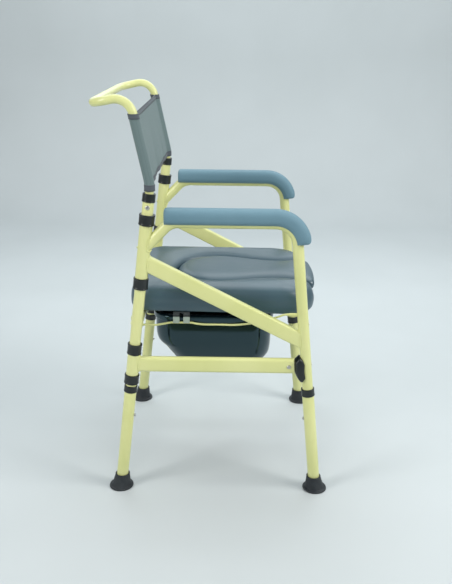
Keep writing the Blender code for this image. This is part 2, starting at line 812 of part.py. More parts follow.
def seat_rings():
    rings = []
    for height, side_in, front_in, rear_in in SEAT_LEVELS:
        outline = rounded_outline(SEAT_HALF_WIDTH - side_in, SEAT_FRONT_Y + front_in, SEAT_REAR_Y - rear_in,
                                  SEAT_CORNER - side_in / 2)
        rings.append([Vector((x, y, height)) for x, y in outline])
    return rings


def make_seat():
    seat = add_object("seat_cushion", loft(seat_rings()), "soft_polyurethane", "seat_unit")
    rings = []
    for height, extra in OPENING_LEVELS:
        rings.append([Vector((x, y, height)) for x, y in opening_outline(extra, OPENING_CUT_Y)])
    cut(seat, loft(rings))


def make_plug():
    rings = []
    for height, side_in, front_in in PLUG_LEVELS:
        outline = opening_outline(-side_in, PLUG_FRONT_Y + front_in, PLUG_FRONT_BULGE)
        rings.append([Vector((x, y, height)) for x, y in outline])
    add_object("middle_pad", loft(rings), "soft_polyurethane", "middle_pad")


def rod_path(side):
    hook = []
    for angle in ROD_HOOK_ANGLES:
        t = math.radians(angle)
        hook.append((ROD_HOOK_X, CROSSBAR_Y + ROD_HOOK_RADIUS * math.sin(t),
                     CROSSBAR_HEIGHT - ROD_HOOK_RADIUS * math.cos(t)))
    path = smooth_path([(side * x, y, z) for x, y, z in hook + list(ROD_ROUTE)], 2)
    return path + [Vector((side * ROD_FRONT_X, y, BLADE_HEIGHT)) for y, _, _ in BLADE_STEPS]


def make_rods():
    for name, side in SIDES:
        path = rod_path(side)
        scales = [(1, 1)] * (len(path) - len(BLADE_STEPS)) + [(wide, tall) for _, wide, tall in BLADE_STEPS]
        shape = solid_sweep(path, circle(ROD_RADIUS, ROD_SIDES), (1, 0, 0), scales)
        add_object("carrier_rod_" + name, shape, "powder_coat", "seat_unit")


def make_rod_clips():
    """A plastic clip on each side, under the seat's edge, with two legs that grip the rod from above."""
    grip = ROD_RADIUS + FIT_GAP
    top = SEAT_BOTTOM - FIT_GAP
    web = top - CLIP_WEB
    low = ROD_CLIP_HEIGHT
    outline = [(CLIP_OUT, low), (CLIP_OUT, CLIP_SHOULDER), (CLIP_TOP_OUT, top), (-CLIP_IN, top), (-CLIP_IN, web),
               (-CLIP_OUT, web - CLIP_SLOPE), (-CLIP_OUT, low)]
    arc = [math.pi - math.pi * i / 6 for i in range(7)]
    outline += [(grip * math.cos(t), low + grip * math.sin(t)) for t in arc]
    ends = (min(CLIP_PLACES) - CLIP_LENGTH / 2, max(CLIP_PLACES) + CLIP_LENGTH / 2)
    gap = (min(CLIP_PLACES) + CLIP_LENGTH / 2, max(CLIP_PLACES) - CLIP_LENGTH / 2)
    for name, side in SIDES:
        rings = []
        for place in ends:
            rings.append([Vector((side * (ROD_CLIP_X + u), place, z)) for u, z in outline])
        clip = add_object("rod_clip_" + name, loft(rings), "clip_plastic", "seat_unit")
        under = ROD_CLIP_HEIGHT - CLIP_CUT
        slot = [(gap[0], under), (gap[1], under), (gap[1], web), (gap[0], web)]
        cut(clip, extruded(slot, side * (ROD_CLIP_X - CLIP_CUT), side * (ROD_CLIP_X + CLIP_CUT)))


def make_hinge_clips():
    """Two open clips that hang the seat on the crossbar."""
    bore = TUBE_RADIUS + RUN_GAP
    top = SEAT_BOTTOM - FIT_GAP
    first, last = (math.radians(angle) for angle in HINGE_CLIP_ANGLES)
    angles = [first + (last - first) * i / HINGE_CLIP_SPANS for i in range(HINGE_CLIP_SPANS + 1)]
    outer = []
    for t in angles:
        z = CROSSBAR_HEIGHT + HINGE_CLIP_RADIUS * math.sin(t)
        outer.append((CROSSBAR_Y + HINGE_CLIP_RADIUS * math.cos(t), min(z, top)))
    inner = [(CROSSBAR_Y + bore * math.cos(t), CROSSBAR_HEIGHT + bore * math.sin(t)) for t in reversed(angles)]
    for name, side in SIDES:
        low = side * HINGE_CLIP_X - HINGE_CLIP_LENGTH / 2
        shape = extruded(outer + inner, low, low + HINGE_CLIP_LENGTH)
        add_object("seat_hinge_clip_" + name, shape, "clip_plastic", "seat_unit")


def make_pail():
    """An open bucket: up the outside, over the rim and down the inside."""
    rim = (PAIL_RIM_HALF_WIDTH, PAIL_RIM_FRONT_Y, PAIL_RIM_REAR_Y, PAIL_RIM_CORNER)
    half_width, front, rear, corner = rim
    edge = PAIL_RIM_EDGE
    rings = list(PAIL_LEVELS)
    rings.append((PAIL_RIM_BOTTOM, *rim))
    rings.append((PAIL_RIM_TOP - edge, *rim))
    rings.append((PAIL_RIM_TOP, half_width - edge, front + edge, rear - edge, corner - edge))
    wall = PAIL_WALL
    for height, half_width, front, rear, corner in reversed(PAIL_LEVELS):
        lift = PAIL_RIM_TOP if height == PAIL_RIM_BOTTOM else height + wall
        rings.append((lift, half_width - wall, front + wall, rear - wall, corner - wall))
    loops = []
    for height, *sizes in rings:
        outline = rounded_outline(*sizes, PAIL_CORNER_SPANS)
        loops.append([Vector((x, y, height)) for x, y in outline])
    add_object("pail", loft(loops), "pail_plastic", "pail")


def make_crossbar():
    path = [rear_axis(CROSSBAR_HEIGHT, -1), rear_axis(CROSSBAR_HEIGHT, 1)]
    outer = circle(TUBE_RADIUS)
    inner = circle(TUBE_RADIUS - TUBE_WALL)
    bar = add_object("seat_crossbar", hollow_sweep(path, outer, inner, (0, 1, 0)), "powder_coat", "back_frame")
    for _, side in SIDES:
        cut(bar, leg_cutter(rear_axis, side, TUBE_RADIUS + 2 * FIT_GAP))


def make_leg(end, name, side):
    axis = LEG_AXES[end]
    body = "leg_" + end + "_" + name
    bottom = EXTENSION_BOTTOM
    low, high = CAPS[end]
    top = high - CAP_LIP - FIT_GAP
    profile = ((EXTENSION_BORE, bottom), (EXTENSION_RADIUS, bottom), (EXTENSION_RADIUS, top), (EXTENSION_BORE, top))
    tube = add_object("leg_extension_" + end + "_" + name, turned_ring(axis, side, profile), "powder_coat", body)
    centre = axis(BUTTON_HEIGHT[end], side)
    inward = button_direction(end, side) * -1
    start, end_point = (centre + inward * reach for reach in HOLE_REACH)
    cut(tube, cylinder(start, end_point, BUTTON_HOLE_RADIUS, 12))
    cap = capped_profile(low, high, CAP_RADIUS, EXTENSION_RADIUS + FIT_GAP, EXTENSION_BORE)
    add_object("leg_cap_" + end + "_" + name, turned_ring(axis, side, cap), "black_plastic", body)
    make_foot(end, name, side, body)
    make_button(end + "_" + name, centre, inward)


def make_foot(end, name, side, body):
    """A rubber foot: its rings lie level, and their centres follow the leg's slant."""
    axis = LEG_AXES[end]
    rings = []
    for radius, height in FOOT_PROFILE:
        centre = axis(height, side)
        rings.append([centre + Vector((u, v, 0)) for u, v in circle(radius)])
    add_object("foot_" + end + "_" + name, loft(rings), "rubber", body)


def make_button(leg, centre, inward):
    across = Vector((1, 0, 0))
    up = inward.cross(across)
    rings = []
    for radius, reach in BUTTON_PROFILE:
        rings.append([centre + inward * reach + across * u + up * v for u, v in circle(radius, 12)])
    add_object("button_" + leg, loft(rings), "zinc", "button_" + leg)


def make_bodies():
    make_body("back_frame", (0, 0, 0))
    for name, side in SIDES:
        make_body("side_" + name, rear_axis(BAR_HEIGHT, side), "back_frame")
    make_body("seat_unit", (0, CROSSBAR_Y, CROSSBAR_HEIGHT), "back_frame")
    make_body("middle_pad", (0, 0, SEAT_BOTTOM), "seat_unit")
    make_body("pail", (0, 0, PAIL_RIM_BOTTOM), "seat_unit")
    for name, side in SIDES:
        for end, holder in (("rear", "back_frame"), ("front", "side_" + name)):
            leg = "leg_" + end + "_" + name
            centre = LEG_AXES[end](BUTTON_HEIGHT[end], side)
            make_body(leg, centre, holder)
            make_body("button_" + end + "_" + name, centre, leg)


def make_chair():
    clear_scene()
    make_materials()
    make_bodies()
    make_uprights()
    make_collars()
    make_crossbar()
    make_backrest()
    make_sling()
    for name, side in SIDES:
        make_side_frame(name, side)
        for end in ("rear", "front"):
            make_leg(end, name, side)
    make_seat()
    make_plug()
    make_rods()
    make_rod_clips()
    make_hinge_clips()
    make_pail()


make_chair()
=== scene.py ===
"""The looks of a folding commode chair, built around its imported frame. Metres, +Z up, the chair faces -Y."""
import math

import bmesh
import bpy
from mathutils import Matrix, Vector, noise


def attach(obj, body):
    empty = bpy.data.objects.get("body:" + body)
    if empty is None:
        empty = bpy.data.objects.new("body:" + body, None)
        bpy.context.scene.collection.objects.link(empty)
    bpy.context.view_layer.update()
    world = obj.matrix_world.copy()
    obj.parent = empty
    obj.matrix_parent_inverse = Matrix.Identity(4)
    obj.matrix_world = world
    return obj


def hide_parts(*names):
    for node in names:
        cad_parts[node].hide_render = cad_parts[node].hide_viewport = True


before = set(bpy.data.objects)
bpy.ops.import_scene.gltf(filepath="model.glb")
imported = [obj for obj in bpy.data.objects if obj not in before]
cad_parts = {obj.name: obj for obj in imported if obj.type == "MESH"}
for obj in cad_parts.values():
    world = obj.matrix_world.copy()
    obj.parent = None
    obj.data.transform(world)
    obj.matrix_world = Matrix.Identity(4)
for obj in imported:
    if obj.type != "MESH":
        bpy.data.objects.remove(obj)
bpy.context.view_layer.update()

X_AXIS = Vector((1, 0, 0))
Y_AXIS = Vector((0, 1, 0))
Z_AXIS = Vector((0, 0, 1))
SIDES = (("right", -1), ("left", 1))
ROUND = 48

# The photograph's width in pixels, and the camera that saw the chair in it
PICTURE_WIDTH = 452
FOCAL_PIXELS = 761.95
SENSOR_WIDTH = 36.0
CAMERA_PLACE = Vector((-1.856, -0.0314, 1.0781))
CAMERA_YAW = 0.0035
CAMERA_PITCH = 0.3372
CAMERA_ROLL = -0.0123

# Legs: the axis of each is a straight line in a plane of constant X
HALF_WIDTH = 0.235
REAR_FOOT_Y = 0.2269
REAR_RAKE = 0.1151
FRONT_FOOT_Y = -0.2499
FRONT_RAKE = 0.1069
TUBE_RADIUS = 0.0127
TUBE_WALL = 0.0014
TUBE_EDGE = 0.0006
FIT_GAP = 0.0003
COPE_GAP = 0.0001
LEG_TUBE_BOTTOM = 0.080
UPRIGHT_TOP = 0.7315
HOLE_RADIUS = 0.0042
HOLE_REACH = (0.006, 0.018)
HOLE_PITCH = 0.025
HOLE_COUNT = 5

# Collars on each upright: name, lowest point, highest point, radius
COLLARS = (
    ("upper_stop_ring", 0.6630, 0.6870, 0.0180),
    ("upper_bearing", 0.5160, 0.5410, 0.0175),
    ("lower_bearing", 0.3559, 0.3814, 0.0170),
    ("lower_stop_ring", 0.2812, 0.3034, 0.0175),
)
COLLAR_TAPER = 0.0002
COLLAR_FLANGE = 0.0030
COLLAR_WAIST = (0.0042, 0.0006)
FERRULE = (0.7150, 0.7335, 0.0145)
FERRULE_FLANGE = (0.0022, 0.0032, 0.0004)
CAP_LIP = 0.0017

# Backrest tube
BACK_TUBE_RADIUS = 0.0095
BACK_TUBE_BOTTOM = 0.6750
BACK_BEND = (0.1405, 0.7500)
BACK_TOP = (0.1810, 0.9378)
HANDLE = (0.2616, 0.9205)
BACK_RADII = (0.080, 0.0385, 0.0435)

# Screws: radius and height of the head, then its shank and cross recess
BACK_SCREW_HEIGHT = 0.7040
BACK_SCREW = (0.0050, 0.0030)
BAR_SCREW = (0.0048, 0.0028)
SCREW_SHANK = 0.0020
SCREW_DEPTH = 0.0030
SCREW_LIFT = 0.0002
DOME_START = 0.35
RECESS_TURN = 0.5
RECESS_REACH = 0.55
RECESS_FLOOR = 0.45
RECESS_HALF_WIDTH = 0.0005

# Weld beads: thickness, unevenness and how fine it is
BEAD = (0.0021, 0.18, 280)
BEAD_STEPS = 52
BEAD_POWER = 0.62
BEAD_SETBACK = 0.020
CROSSBAR_BEAD = (0.0022, 0.15, 300)
CROSSBAR_BEAD_LIFT = 0.0008

# Sling
SLING_BOTTOM = 0.7400
SLING_TOP = 0.9010
SLING_DIP = 0.0072
SLING_TOP_DIP = 0.0036
SLING_SET_FORWARD = 0.0026
SLING_BOW = 0.0080
SLING_WAVE = 0.0012
SLING_CREASE = 0.0008
SLING_STEPS = 48
SLING_ROWS = 30
CLOTH = 0.0011
TUNNEL_RADIUS = 0.0107
TUNNEL_SEAM = 0.0145
# Lowest and highest level of each hem, in shares of the sling's height
HEMS = (("top", 0.935, 1.004), ("bottom", -0.004, 0.082))
HEM_STITCHES = (0.008, 0.010)
STITCH_PITCH = 0.0034
STITCH_LENGTH = 0.0024
THREAD_RADIUS = 0.00045

# Side frame
ARM_HEIGHT = 0.6697
ARM_REAR_CORNER_Y = 0.0980
ARM_REAR_BEND = 0.045
ARM_FRONT_BEND = 0.051
ARM_WELD_SETBACK = 0.012
SLANT_END = (0.1545, 0.6110)
SLEEVE_RADIUS = 0.0145
SLEEVE_BORE = 0.0132
SLEEVES = (("upper_sleeve", 0.5415, 0.6625), ("lower_sleeve", 0.3039, 0.3554))
BOX_WALL = 0.0015
BRACE_REAR = (0.1613, 0.5801)
BRACE_FRONT = (-0.2075, 0.3914)
BRACE_SIZE = (0.0190, 0.0350)
BRACE_CORNERS = (0.0045, 0.0031)
BRACE_REACH = 0.0030
BAR_HEIGHT = 0.3300
BAR_SIZE = (0.0160, 0.0380)
BAR_CORNERS = (0.00776, 0.00626)
BAR_FRONT_Y = -0.1858
BAR_SCREW_Y = -0.1740
STUD_HEIGHT = 0.4355
STUD_RADIUS = 0.0035
STUD_INNER_X = 0.2005
RIVET_HEIGHTS = (0.4355, 0.3350)
RIVET_PROFILE = ((0.0028, -0.0010), (0.0030, 0.0004), (0.0024, 0.0014), (0.0010, 0.0019))
SADDLE_OUTLINE = (
    (-0.1970, 0.3560), (-0.1863, 0.3440), (-0.1880, 0.3145), (-0.1934, 0.3033), (-0.1977, 0.2962),
    (-0.2025, 0.2912), (-0.2075, 0.2905), (-0.2148, 0.3000), (-0.2128, 0.3170), (-0.2110, 0.3400),
    (-0.2040, 0.3520),
)
SADDLE_HALF_WIDTH = 0.0150
SADDLE_ROUND = 0.0060
SADDLE_STEPS = 16

# Arm pad: its section, its ends, and how far from each end and how much it rounds over
PAD_HALF_WIDTH = 0.0232
PAD_LOW = -0.0035
PAD_HIGH = 0.0313
PAD_SQUARENESS = 2.9
PAD_UNDERCUT = -64
PAD_REAR_Y = 0.1115
PAD_FRONT_HEIGHT = 0.6270
PAD_REAR_ROUND = (0.0075, 0.30)
PAD_FRONT_ROUND = (0.0150, 0.52)
PAD_END_STEPS = (0.0, 0.0006, 0.0018, 0.0036, 0.006, 0.009)
PAD_ENDS = 0.011
GROOVE_RADIUS = TUBE_RADIUS + 2 * FIT_GAP
GROOVE_WALL = 0.0012

# Leg extension, cap, foot and button
EXTENSION_RADIUS = 0.0140
EXTENSION_BORE = 0.01325
EXTENSION_BOTTOM = 0.0115
CAPS = {"rear": (0.2595, 0.2755), "front": (0.2551, 0.2734)}
CAP_RADIUS = 0.0155
CAP_FLANGE = (0.0020, 0.0030, 0.0005)
BUTTON_HEIGHT = {"rear": 0.1970, "front": 0.1940}
BUTTON_RADIUS = 0.0038
BUTTON_REACH = (0.0132, 0.0136, 0.0160)
BUTTON_DOME = 0.0022
BUTTON_HOLE_RADIUS = 0.0041
BUTTON_HOLE_REACH = (0.008, 0.020)
# Radius and height of a foot's corners, up its flanged sole and cone and down its bore
FOOT_CORNERS = (
    (0.0150, 0.0000), (0.0275, 0.0000), (0.0290, 0.0010), (0.0293, 0.0026), (0.0288, 0.0048),
    (0.0268, 0.0058), (0.0248, 0.0053), (0.0234, 0.0060), (0.0223, 0.0088), (0.0173, 0.0340),
    (0.0177, 0.0350), (0.0170, 0.0362), (0.0147, 0.0362), (0.0147, 0.0090), (0.0100, 0.0088),
    (0.0100, 0.0012),
)

# Seat and middle pad
CROSSBAR_HEIGHT = 0.4280
CROSSBAR_Y = REAR_FOOT_Y - REAR_RAKE * CROSSBAR_HEIGHT
SEAT_HALF_WIDTH = 0.1830
SEAT_FRONT_Y = -0.2375
SEAT_REAR_Y = 0.2015
SEAT_FRONT_CORNER = 0.0620
SEAT_REAR_CORNER = 0.0480
SEAT_FALL = 0.0032
SEAT_FALL_START_Y = 0.020
SEAT_FALL_RUN = 0.260
SEAT_FALL_LOW = 0.460
SEAT_FALL_BAND = 0.035
SEAT_LIP = 0.0048
SEAT_LIP_TOP = 0.4540
SEAT_LIP_BAND = 0.012
SEAT_LIP_REAR_Y = 0.150
SEAT_LIP_RUN = 0.060
OPENING_WIDEST = 0.1100
OPENING_NECK = 0.0790
OPENING_NECK_Y = -0.1500
OPENING_REAR = 0.1060
OPENING_CUT_Y = -0.3000
OPENING_FRONT_STEPS = 10
OPENING_CORNER_STEPS = 8
OPENING_SIDE_STEPS = 44
OPENING_REAR_STEPS = 30
PLUG_FRONT_Y = -0.2405
PLUG_BULGE = 0.0060
PLUG_CORNER = 0.0140
# Height, then how far the outline is drawn in at the sides, the front and the rear
SEAT_LEVELS = (
    (0.4428, 0.0140, 0.0200, 0.0150),
    (0.4420, 0.0060, 0.0120, 0.0090),
    (0.4424, 0.0022, 0.0074, 0.0054),
    (0.4440, 0.0006, 0.0040, 0.0030),
    (0.4475, 0.0000, 0.0016, 0.0012),
    (0.4540, 0.0004, 0.0002, 0.0002),
    (0.4620, 0.0012, 0.0000, 0.0000),
    (0.4700, 0.0014, 0.0012, 0.0006),
    (0.4770, 0.0022, 0.0034, 0.0014),
    (0.4830, 0.0034, 0.0062, 0.0026),
    (0.4880, 0.0050, 0.0098, 0.0044),
    (0.4920, 0.0070, 0.0142, 0.0070),
    (0.4952, 0.0098, 0.0192, 0.0104),
    (0.4976, 0.0128, 0.0238, 0.0132),
    (0.4996, 0.0160, 0.0286, 0.0166),
    (0.5012, 0.0196, 0.0340, 0.0206),
    (0.5027, 0.0236, 0.0400, 0.0250),
    (0.5041, 0.0280, 0.0470, 0.0300),
    (0.5053, 0.0330, 0.0550, 0.0360),
    (0.5063, 0.0390, 0.0640, 0.0430),
    (0.5069, 0.0460, 0.0740, 0.0510),
    (0.5072, 0.0560, 0.0860, 0.0610),
    (0.5073, 0.0680, 0.1000, 0.0730),
)
# Height, then how far the opening's outline is drawn out, up from the underside to its flared edge
OPENING_LEVELS = (
    (0.4300, -0.0080),
    (0.4655, -0.0080),
    (0.4658, -0.0070),
    (0.4800, -0.0054),
    (0.4860, -0.0030),
    (0.4905, -0.0002),
    (0.4940, 0.0028),
    (0.4966, 0.0058),
    (0.4985, 0.0090),
    (0.4998, 0.0130),
    (0.5010, 0.0180),
    (0.5022, 0.0236),
    (0.5034, 0.0294),
    (0.5046, 0.0352),
    (0.5057, 0.0412),
    (0.5068, 0.0490),
    (0.5078, 0.0580),
    (0.5300, 0.0620),
)
# Height, then how far the middle pad's outline is drawn in from the opening's, and from its front
PAD_LEVELS = (
    (0.4662, 0.0160, 0.0150),
    (0.4664, 0.0118, 0.0090),
    (0.4680, 0.0098, 0.0044),
    (0.4720, 0.0088, 0.0014),
    (0.4800, 0.0087, 0.0000),
    (0.4868, 0.0100, 0.0010),
    (0.4915, 0.0130, 0.0040),
    (0.4952, 0.0174, 0.0090),
    (0.4981, 0.0230, 0.0160),
    (0.5004, 0.0296, 0.0250),
    (0.5021, 0.0370, 0.0345),
    (0.5034, 0.0450, 0.0445),
    (0.5043, 0.0530, 0.0550),
    (0.5049, 0.0600, 0.0660),
)

# Carrier rods and clips
ROD_RADIUS = 0.0024
ROD_HOOK_RADIUS = 0.0160
ROD_HOOK_X = 0.1960
ROD_CLIP_X = 0.1875
ROD_PAIL_X = 0.1812
ROD_FRONT_X = 0.2035
ROD_HEIGHT = 0.4090
ROD_CLIP_HEIGHT = 0.4155
BLADE_HEIGHT = 0.4447
BLADE_START_Y = -0.166
BLADE_TIP_Y = -0.2135
# A rod's route from behind its clip, under the pail's rim and up to the stud on the front leg
ROD_ROUTE = (
    (0.1925, 0.140, 0.4106),
    (0.1900, 0.122, 0.4125),
    (0.1878, 0.106, 0.4150),
    (ROD_CLIP_X, 0.098, ROD_CLIP_HEIGHT),
    (ROD_CLIP_X, 0.057, ROD_CLIP_HEIGHT),
    (0.1873, 0.045, 0.4134),
    (0.1860, 0.030, 0.4112),
    (0.1838, 0.014, 0.4099),
    (ROD_PAIL_X, 0.000, ROD_HEIGHT),
    (ROD_PAIL_X, -0.010, ROD_HEIGHT),
    (0.1820, -0.024, 0.4092),
    (0.1852, -0.040, 0.4102),
    (0.1875, -0.058, 0.4120),
    (0.1890, -0.075, 0.4148),
    (0.1950, -0.105, 0.4220),
    (ROD_FRONT_X, -0.145, 0.4385),
    (ROD_FRONT_X, -0.162, BLADE_HEIGHT),
    (ROD_FRONT_X, -0.176, BLADE_HEIGHT),
    (ROD_FRONT_X, -0.213, BLADE_HEIGHT),
)
# Height where a clip's pale plastic gives way to its black top, which is painted shade
CLIP_SPLIT = 0.4312
CLIP_Y = 0.08
CLIP_BLOCK = 0.2
# What a clip's name ends in, its finish, and how it is cut from the whole. The top above the split is black
# only as painted shade, for the shadow under the seat's edge.
CLIP_PARTS = (("", "clip_plastic", "DIFFERENCE"), ("_bracket", "black_plastic", "INTERSECT"))

# Pail: height, half width, front, rear and corner radius of the outside
PAIL_LEVELS = (
    (0.2700, 0.0950, -0.0920, 0.0700, 0.040),
    (0.2740, 0.1080, -0.1060, 0.0840, 0.044),
    (0.2850, 0.1230, -0.1205, 0.0990, 0.047),
    (0.3030, 0.1340, -0.1325, 0.1105, 0.048),
    (0.3260, 0.1440, -0.1360, 0.1250, 0.048),
    (0.3520, 0.1520, -0.1366, 0.1430, 0.048),
    (0.4128, 0.1640, -0.1375, 0.1455, 0.050),
)
PAIL_RIM = (0.1830, -0.1415, 0.1485, 0.064)
PAIL_WALL = 0.0028
# Height of a rim's edge, its roundness, whether it curves up or down, and the turns through it in degrees
PAIL_RIM_BOTTOM = (0.4128, 0.0016, 1, (-80, -50, -20, 0))
PAIL_RIM_TOP = (0.4268, 0.0022, -1, (0, 25, 50, 75, 90))
PAIL_MOUTH = ((0.0, 0.0024), (0.0004, 0.0010), (0.0014, 0.0))

# Stage
FLOOR_HALF = 2.8
BACKDROP_X = 3.2
BACKDROP_BEND = 0.9
BACKDROP_TOP = 4.5
BACKDROP_STEPS = 16
WORLD_COLOUR = (0.92, 0.96, 1.0, 1.0)
WORLD_LIGHT = 0.12
WORLD_SEEN = 0.40
WARM = (1.0, 0.99, 0.96)
COOL = (0.90, 0.97, 1.0)
# Name, place, the point that it is aimed at, size, power and colour
LAMPS = (
    ("key", (-0.9, -2.3, 1.9), (0, 0, 0.5), (1.3, 1.5), 52.0, WARM),
    ("rear side", (-1.5, 2.2, 1.7), (0, 0, 0.5), (0.9, 1.6), 36.0, WARM),
    ("top", (0.7, 0.0, 2.9), (0, 0, 0.4), (3.2, 3.2), 44.0, COOL),
    ("back", (1.5, 0.0, 1.45), (0, 0, 0.5), (3.0, 0.5), 8.0, COOL),
    ("backdrop", (1.7, -0.7, 3.3), (3.2, -0.7, 0.9), (6.0, 1.0), 56.0, (0.92, 0.98, 1.0)),
    ("fill", (-2.9, -0.1, 2.3), (0, 0, 0.4), (2.2, 1.6), 38.0, (0.97, 0.99, 1.0)),
)

# Each material made, by its name
MATERIALS = {}


def rear_axis(height, side):
    return Vector((side * HALF_WIDTH, REAR_FOOT_Y - REAR_RAKE * height, height))


def front_axis(height, side):
    return Vector((side * HALF_WIDTH, FRONT_FOOT_Y + FRONT_RAKE * height, height))


LEG_AXES = {"rear": rear_axis, "front": front_axis}


# Materials


def set_inputs(target, **inputs):
    """Link or set a node's inputs, whose names have underscores for spaces."""
    for key, value in inputs.items():
        feed(target.inputs[key.replace("_", " ")], value)


def feed(socket, value):
    if isinstance(value, bpy.types.NodeSocket):
        socket.id_data.links.new(value, socket)
    else:
        socket.default_value = value


def node(near, kind, **inputs):
    """Add a node to the tree that a socket or another node is in."""
    made = near.id_data.nodes.new(kind)
    set_inputs(made, **inputs)
    return made


def new_material(name, colour, roughness, metallic=0.0):
    """Make a material with plain values, and return its shader and the object's own coordinates."""
    finish = bpy.data.materials.new(name)
    finish.use_nodes = True
    shader = finish.node_tree.nodes["Principled BSDF"]
    set_inputs(shader, Base_Color=(*colour, 1.0), Roughness=roughness, Metallic=metallic)
    MATERIALS[name] = finish
    return shader, node(shader, "ShaderNodeTexCoord").outputs["Object"]


def noise_value(place, scale, detail=2.0, roughness=0.5):
    made = node(place, "ShaderNodeTexNoise", Vector=place, Scale=scale, Detail=detail, Roughness=roughness)
    return made.outputs["Fac"]


def wave_value(place, direction, **inputs):
    made = node(place, "ShaderNodeTexWave", Vector=place, **inputs)
    made.bands_direction = direction
    return made.outputs["Fac"]


def math_node(operation, first, second):
    made = node(first, "ShaderNodeMath")
    made.operation = operation
    feed(made.inputs[0], first)
    feed(made.inputs[1], second)
    return made.outputs["Value"]


def mixed_colour(share, first, second):
    """A mix of two colours, each of which is three numbers or another node's colour."""
    made = node(share, "ShaderNodeMix", Factor=share)
    made.data_type = "RGBA"
    for socket, colour in zip(made.inputs[6:8], (first, second)):
        feed(socket, (*colour, 1.0) if isinstance(colour, tuple) else colour)
    return made.outputs[2]


def ramp(value, low, high, from_low=0.0, from_high=1.0):
    """Map one range of a value to another, without overshooting it."""
    made = node(value, "ShaderNodeMapRange", Value=value, From_Min=from_low, From_Max=from_high, To_Min=low,
                To_Max=high)
    return made.outputs["Result"]


def add_bump(shader, height, distance, strength):
    """Bump a shader's surface, over the bump that it has already."""
    bump = node(shader, "ShaderNodeBump", Height=height, Distance=distance, Strength=strength)
    for link in shader.inputs["Normal"].links:
        feed(bump.inputs["Normal"], link.from_socket)
    feed(shader.inputs["Normal"], bump.outputs["Normal"])


def make_powder_coat():
    """Baked powder on steel tube: a fine orange peel, a little unevenness of tone, a few dull marks."""
    shader, place = new_material("powder_coat", (0.72, 0.74, 0.31), 0.33)
    tone = ramp(noise_value(place, 9.0, 3.0), 0.0, 1.0, 0.35, 0.65)
    shade = mixed_colour(tone, (0.66, 0.68, 0.28), (0.715, 0.73, 0.33))
    marks = noise_value(place, 55.0, 4.0, 0.65)
    worn = mixed_colour(ramp(marks, 0.0, 0.35, 0.62, 0.75), shade, (0.62, 0.63, 0.27))
    add_bump(shader, noise_value(place, 420.0, 1.0), 0.00012, 0.35)
    set_inputs(shader, Base_Color=worn, Roughness=ramp(marks, 0.28, 0.42, 0.35, 0.75), Coat_Weight=0.25,
               Coat_Roughness=0.18)


def make_skin(name, dark, light, roughness, grain_strength, pore_scale, specular):
    """Self-skinned polyurethane foam: small leather-like pores, soft uneven tone and gloss."""
    shader, place = new_material(name, light, roughness)
    cells = node(place, "ShaderNodeTexVoronoi", Vector=place, Scale=pore_scale)
    speckle = noise_value(place, pore_scale * 0.8, 2.0, 0.6)
    cloud = noise_value(place, 6.0, 3.0)
    share = math_node("ADD", ramp(cloud, 0.0, 0.6, 0.3, 0.7), ramp(speckle, 0.0, 0.4, 0.3, 0.7))
    gloss = ramp(cloud, roughness - 0.05, roughness + 0.07, 0.3, 0.7)
    set_inputs(shader, Base_Color=mixed_colour(share, dark, light), Roughness=gloss,
               Specular_IOR_Level=specular)
    add_bump(shader, cells.outputs["Distance"], 0.0002, grain_strength)
    add_bump(shader, speckle, 0.0003, grain_strength * 0.6)


def make_sling_cloth():
    """Ribbed mesh cloth: cross ribs about a millimetre apart and finer upright threads."""
    shader, place = new_material("sling_cloth", (0.20, 0.26, 0.26), 0.78)
    ribs = wave_value(place, "Z", Scale=150.0, Distortion=0.6, Detail=1.0, Detail_Scale=3.0)
    threads = wave_value(place, "X", Scale=210.0, Distortion=0.4)
    weave = math_node("MULTIPLY", ribs, math_node("ADD", threads, 0.6))
    tone = ramp(noise_value(place, 14.0, 3.0), 0.0, 0.5, 0.35, 0.7)
    shade = mixed_colour(weave, (0.085, 0.130, 0.132), (0.170, 0.240, 0.240))
    clouded = mixed_colour(tone, shade, (0.135, 0.190, 0.192))
    add_bump(shader, weave, 0.0005, 0.6)
    set_inputs(shader, Base_Color=clouded, Sheen_Weight=0.15, Sheen_Roughness=0.5)


def make_hem_cloth():
    """The binding along the sling's edges: a denser, darker, slightly violet tape."""
    shader, place = new_material("hem_cloth", (0.11, 0.12, 0.145), 0.8)
    ribs = wave_value(place, "DIAGONAL", Scale=260.0, Distortion=1.0)
    shade = mixed_colour(ribs, (0.050, 0.062, 0.074), (0.110, 0.125, 0.145))
    add_bump(shader, ribs, 0.0003, 0.5)
    set_inputs(shader, Base_Color=shade, Sheen_Weight=0.1)


def make_thread():
    shader, place = new_material("thread", (0.055, 0.065, 0.08), 0.7)
    twist = wave_value(place, "DIAGONAL", Scale=900.0)
    set_inputs(shader, Base_Color=mixed_colour(twist, (0.016, 0.022, 0.026), (0.045, 0.055, 0.062)))


def make_pail_plastic():
    """Moulded polypropylene: glossy with a slightly rippled skin and upright flow marks. Its colour is made
    near black as painted shade for the shadow under the seat; the plastic itself is blue-grey.
    """
    # Painted shade: the blue-grey pail gets a near-black colour for the shade it sits in under the seat
    shader, place = new_material("pail_plastic", (0.016, 0.028, 0.033), 0.16)
    upright = node(place, "ShaderNodeMapping", Vector=place, Scale=(60.0, 60.0, 5.0))
    flow = noise_value(upright.outputs["Vector"], 1.0, 2.0)
    cloud = noise_value(place, 12.0, 3.0)
    shade = mixed_colour(cloud, (0.003, 0.009, 0.013), (0.005, 0.014, 0.019))
    add_bump(shader, flow, 0.0003, 0.15)
    set_inputs(shader, Base_Color=shade, Roughness=ramp(cloud, 0.09, 0.14, 0.3, 0.7),
               Specular_IOR_Level=0.85, Specular_Tint=(0.50, 0.78, 0.88, 1.0))


def make_plastic(name, colour, roughness, dark, light, tone_scale, grain_scale, grain):
    """Moulded plastic with an uneven tone and a fine grain."""
    shader, place = new_material(name, colour, roughness)
    tone = noise_value(place, tone_scale, 3.0)
    set_inputs(shader, Base_Color=mixed_colour(tone, dark, light))
    add_bump(shader, noise_value(place, grain_scale), 0.0001, grain)
    return shader, tone


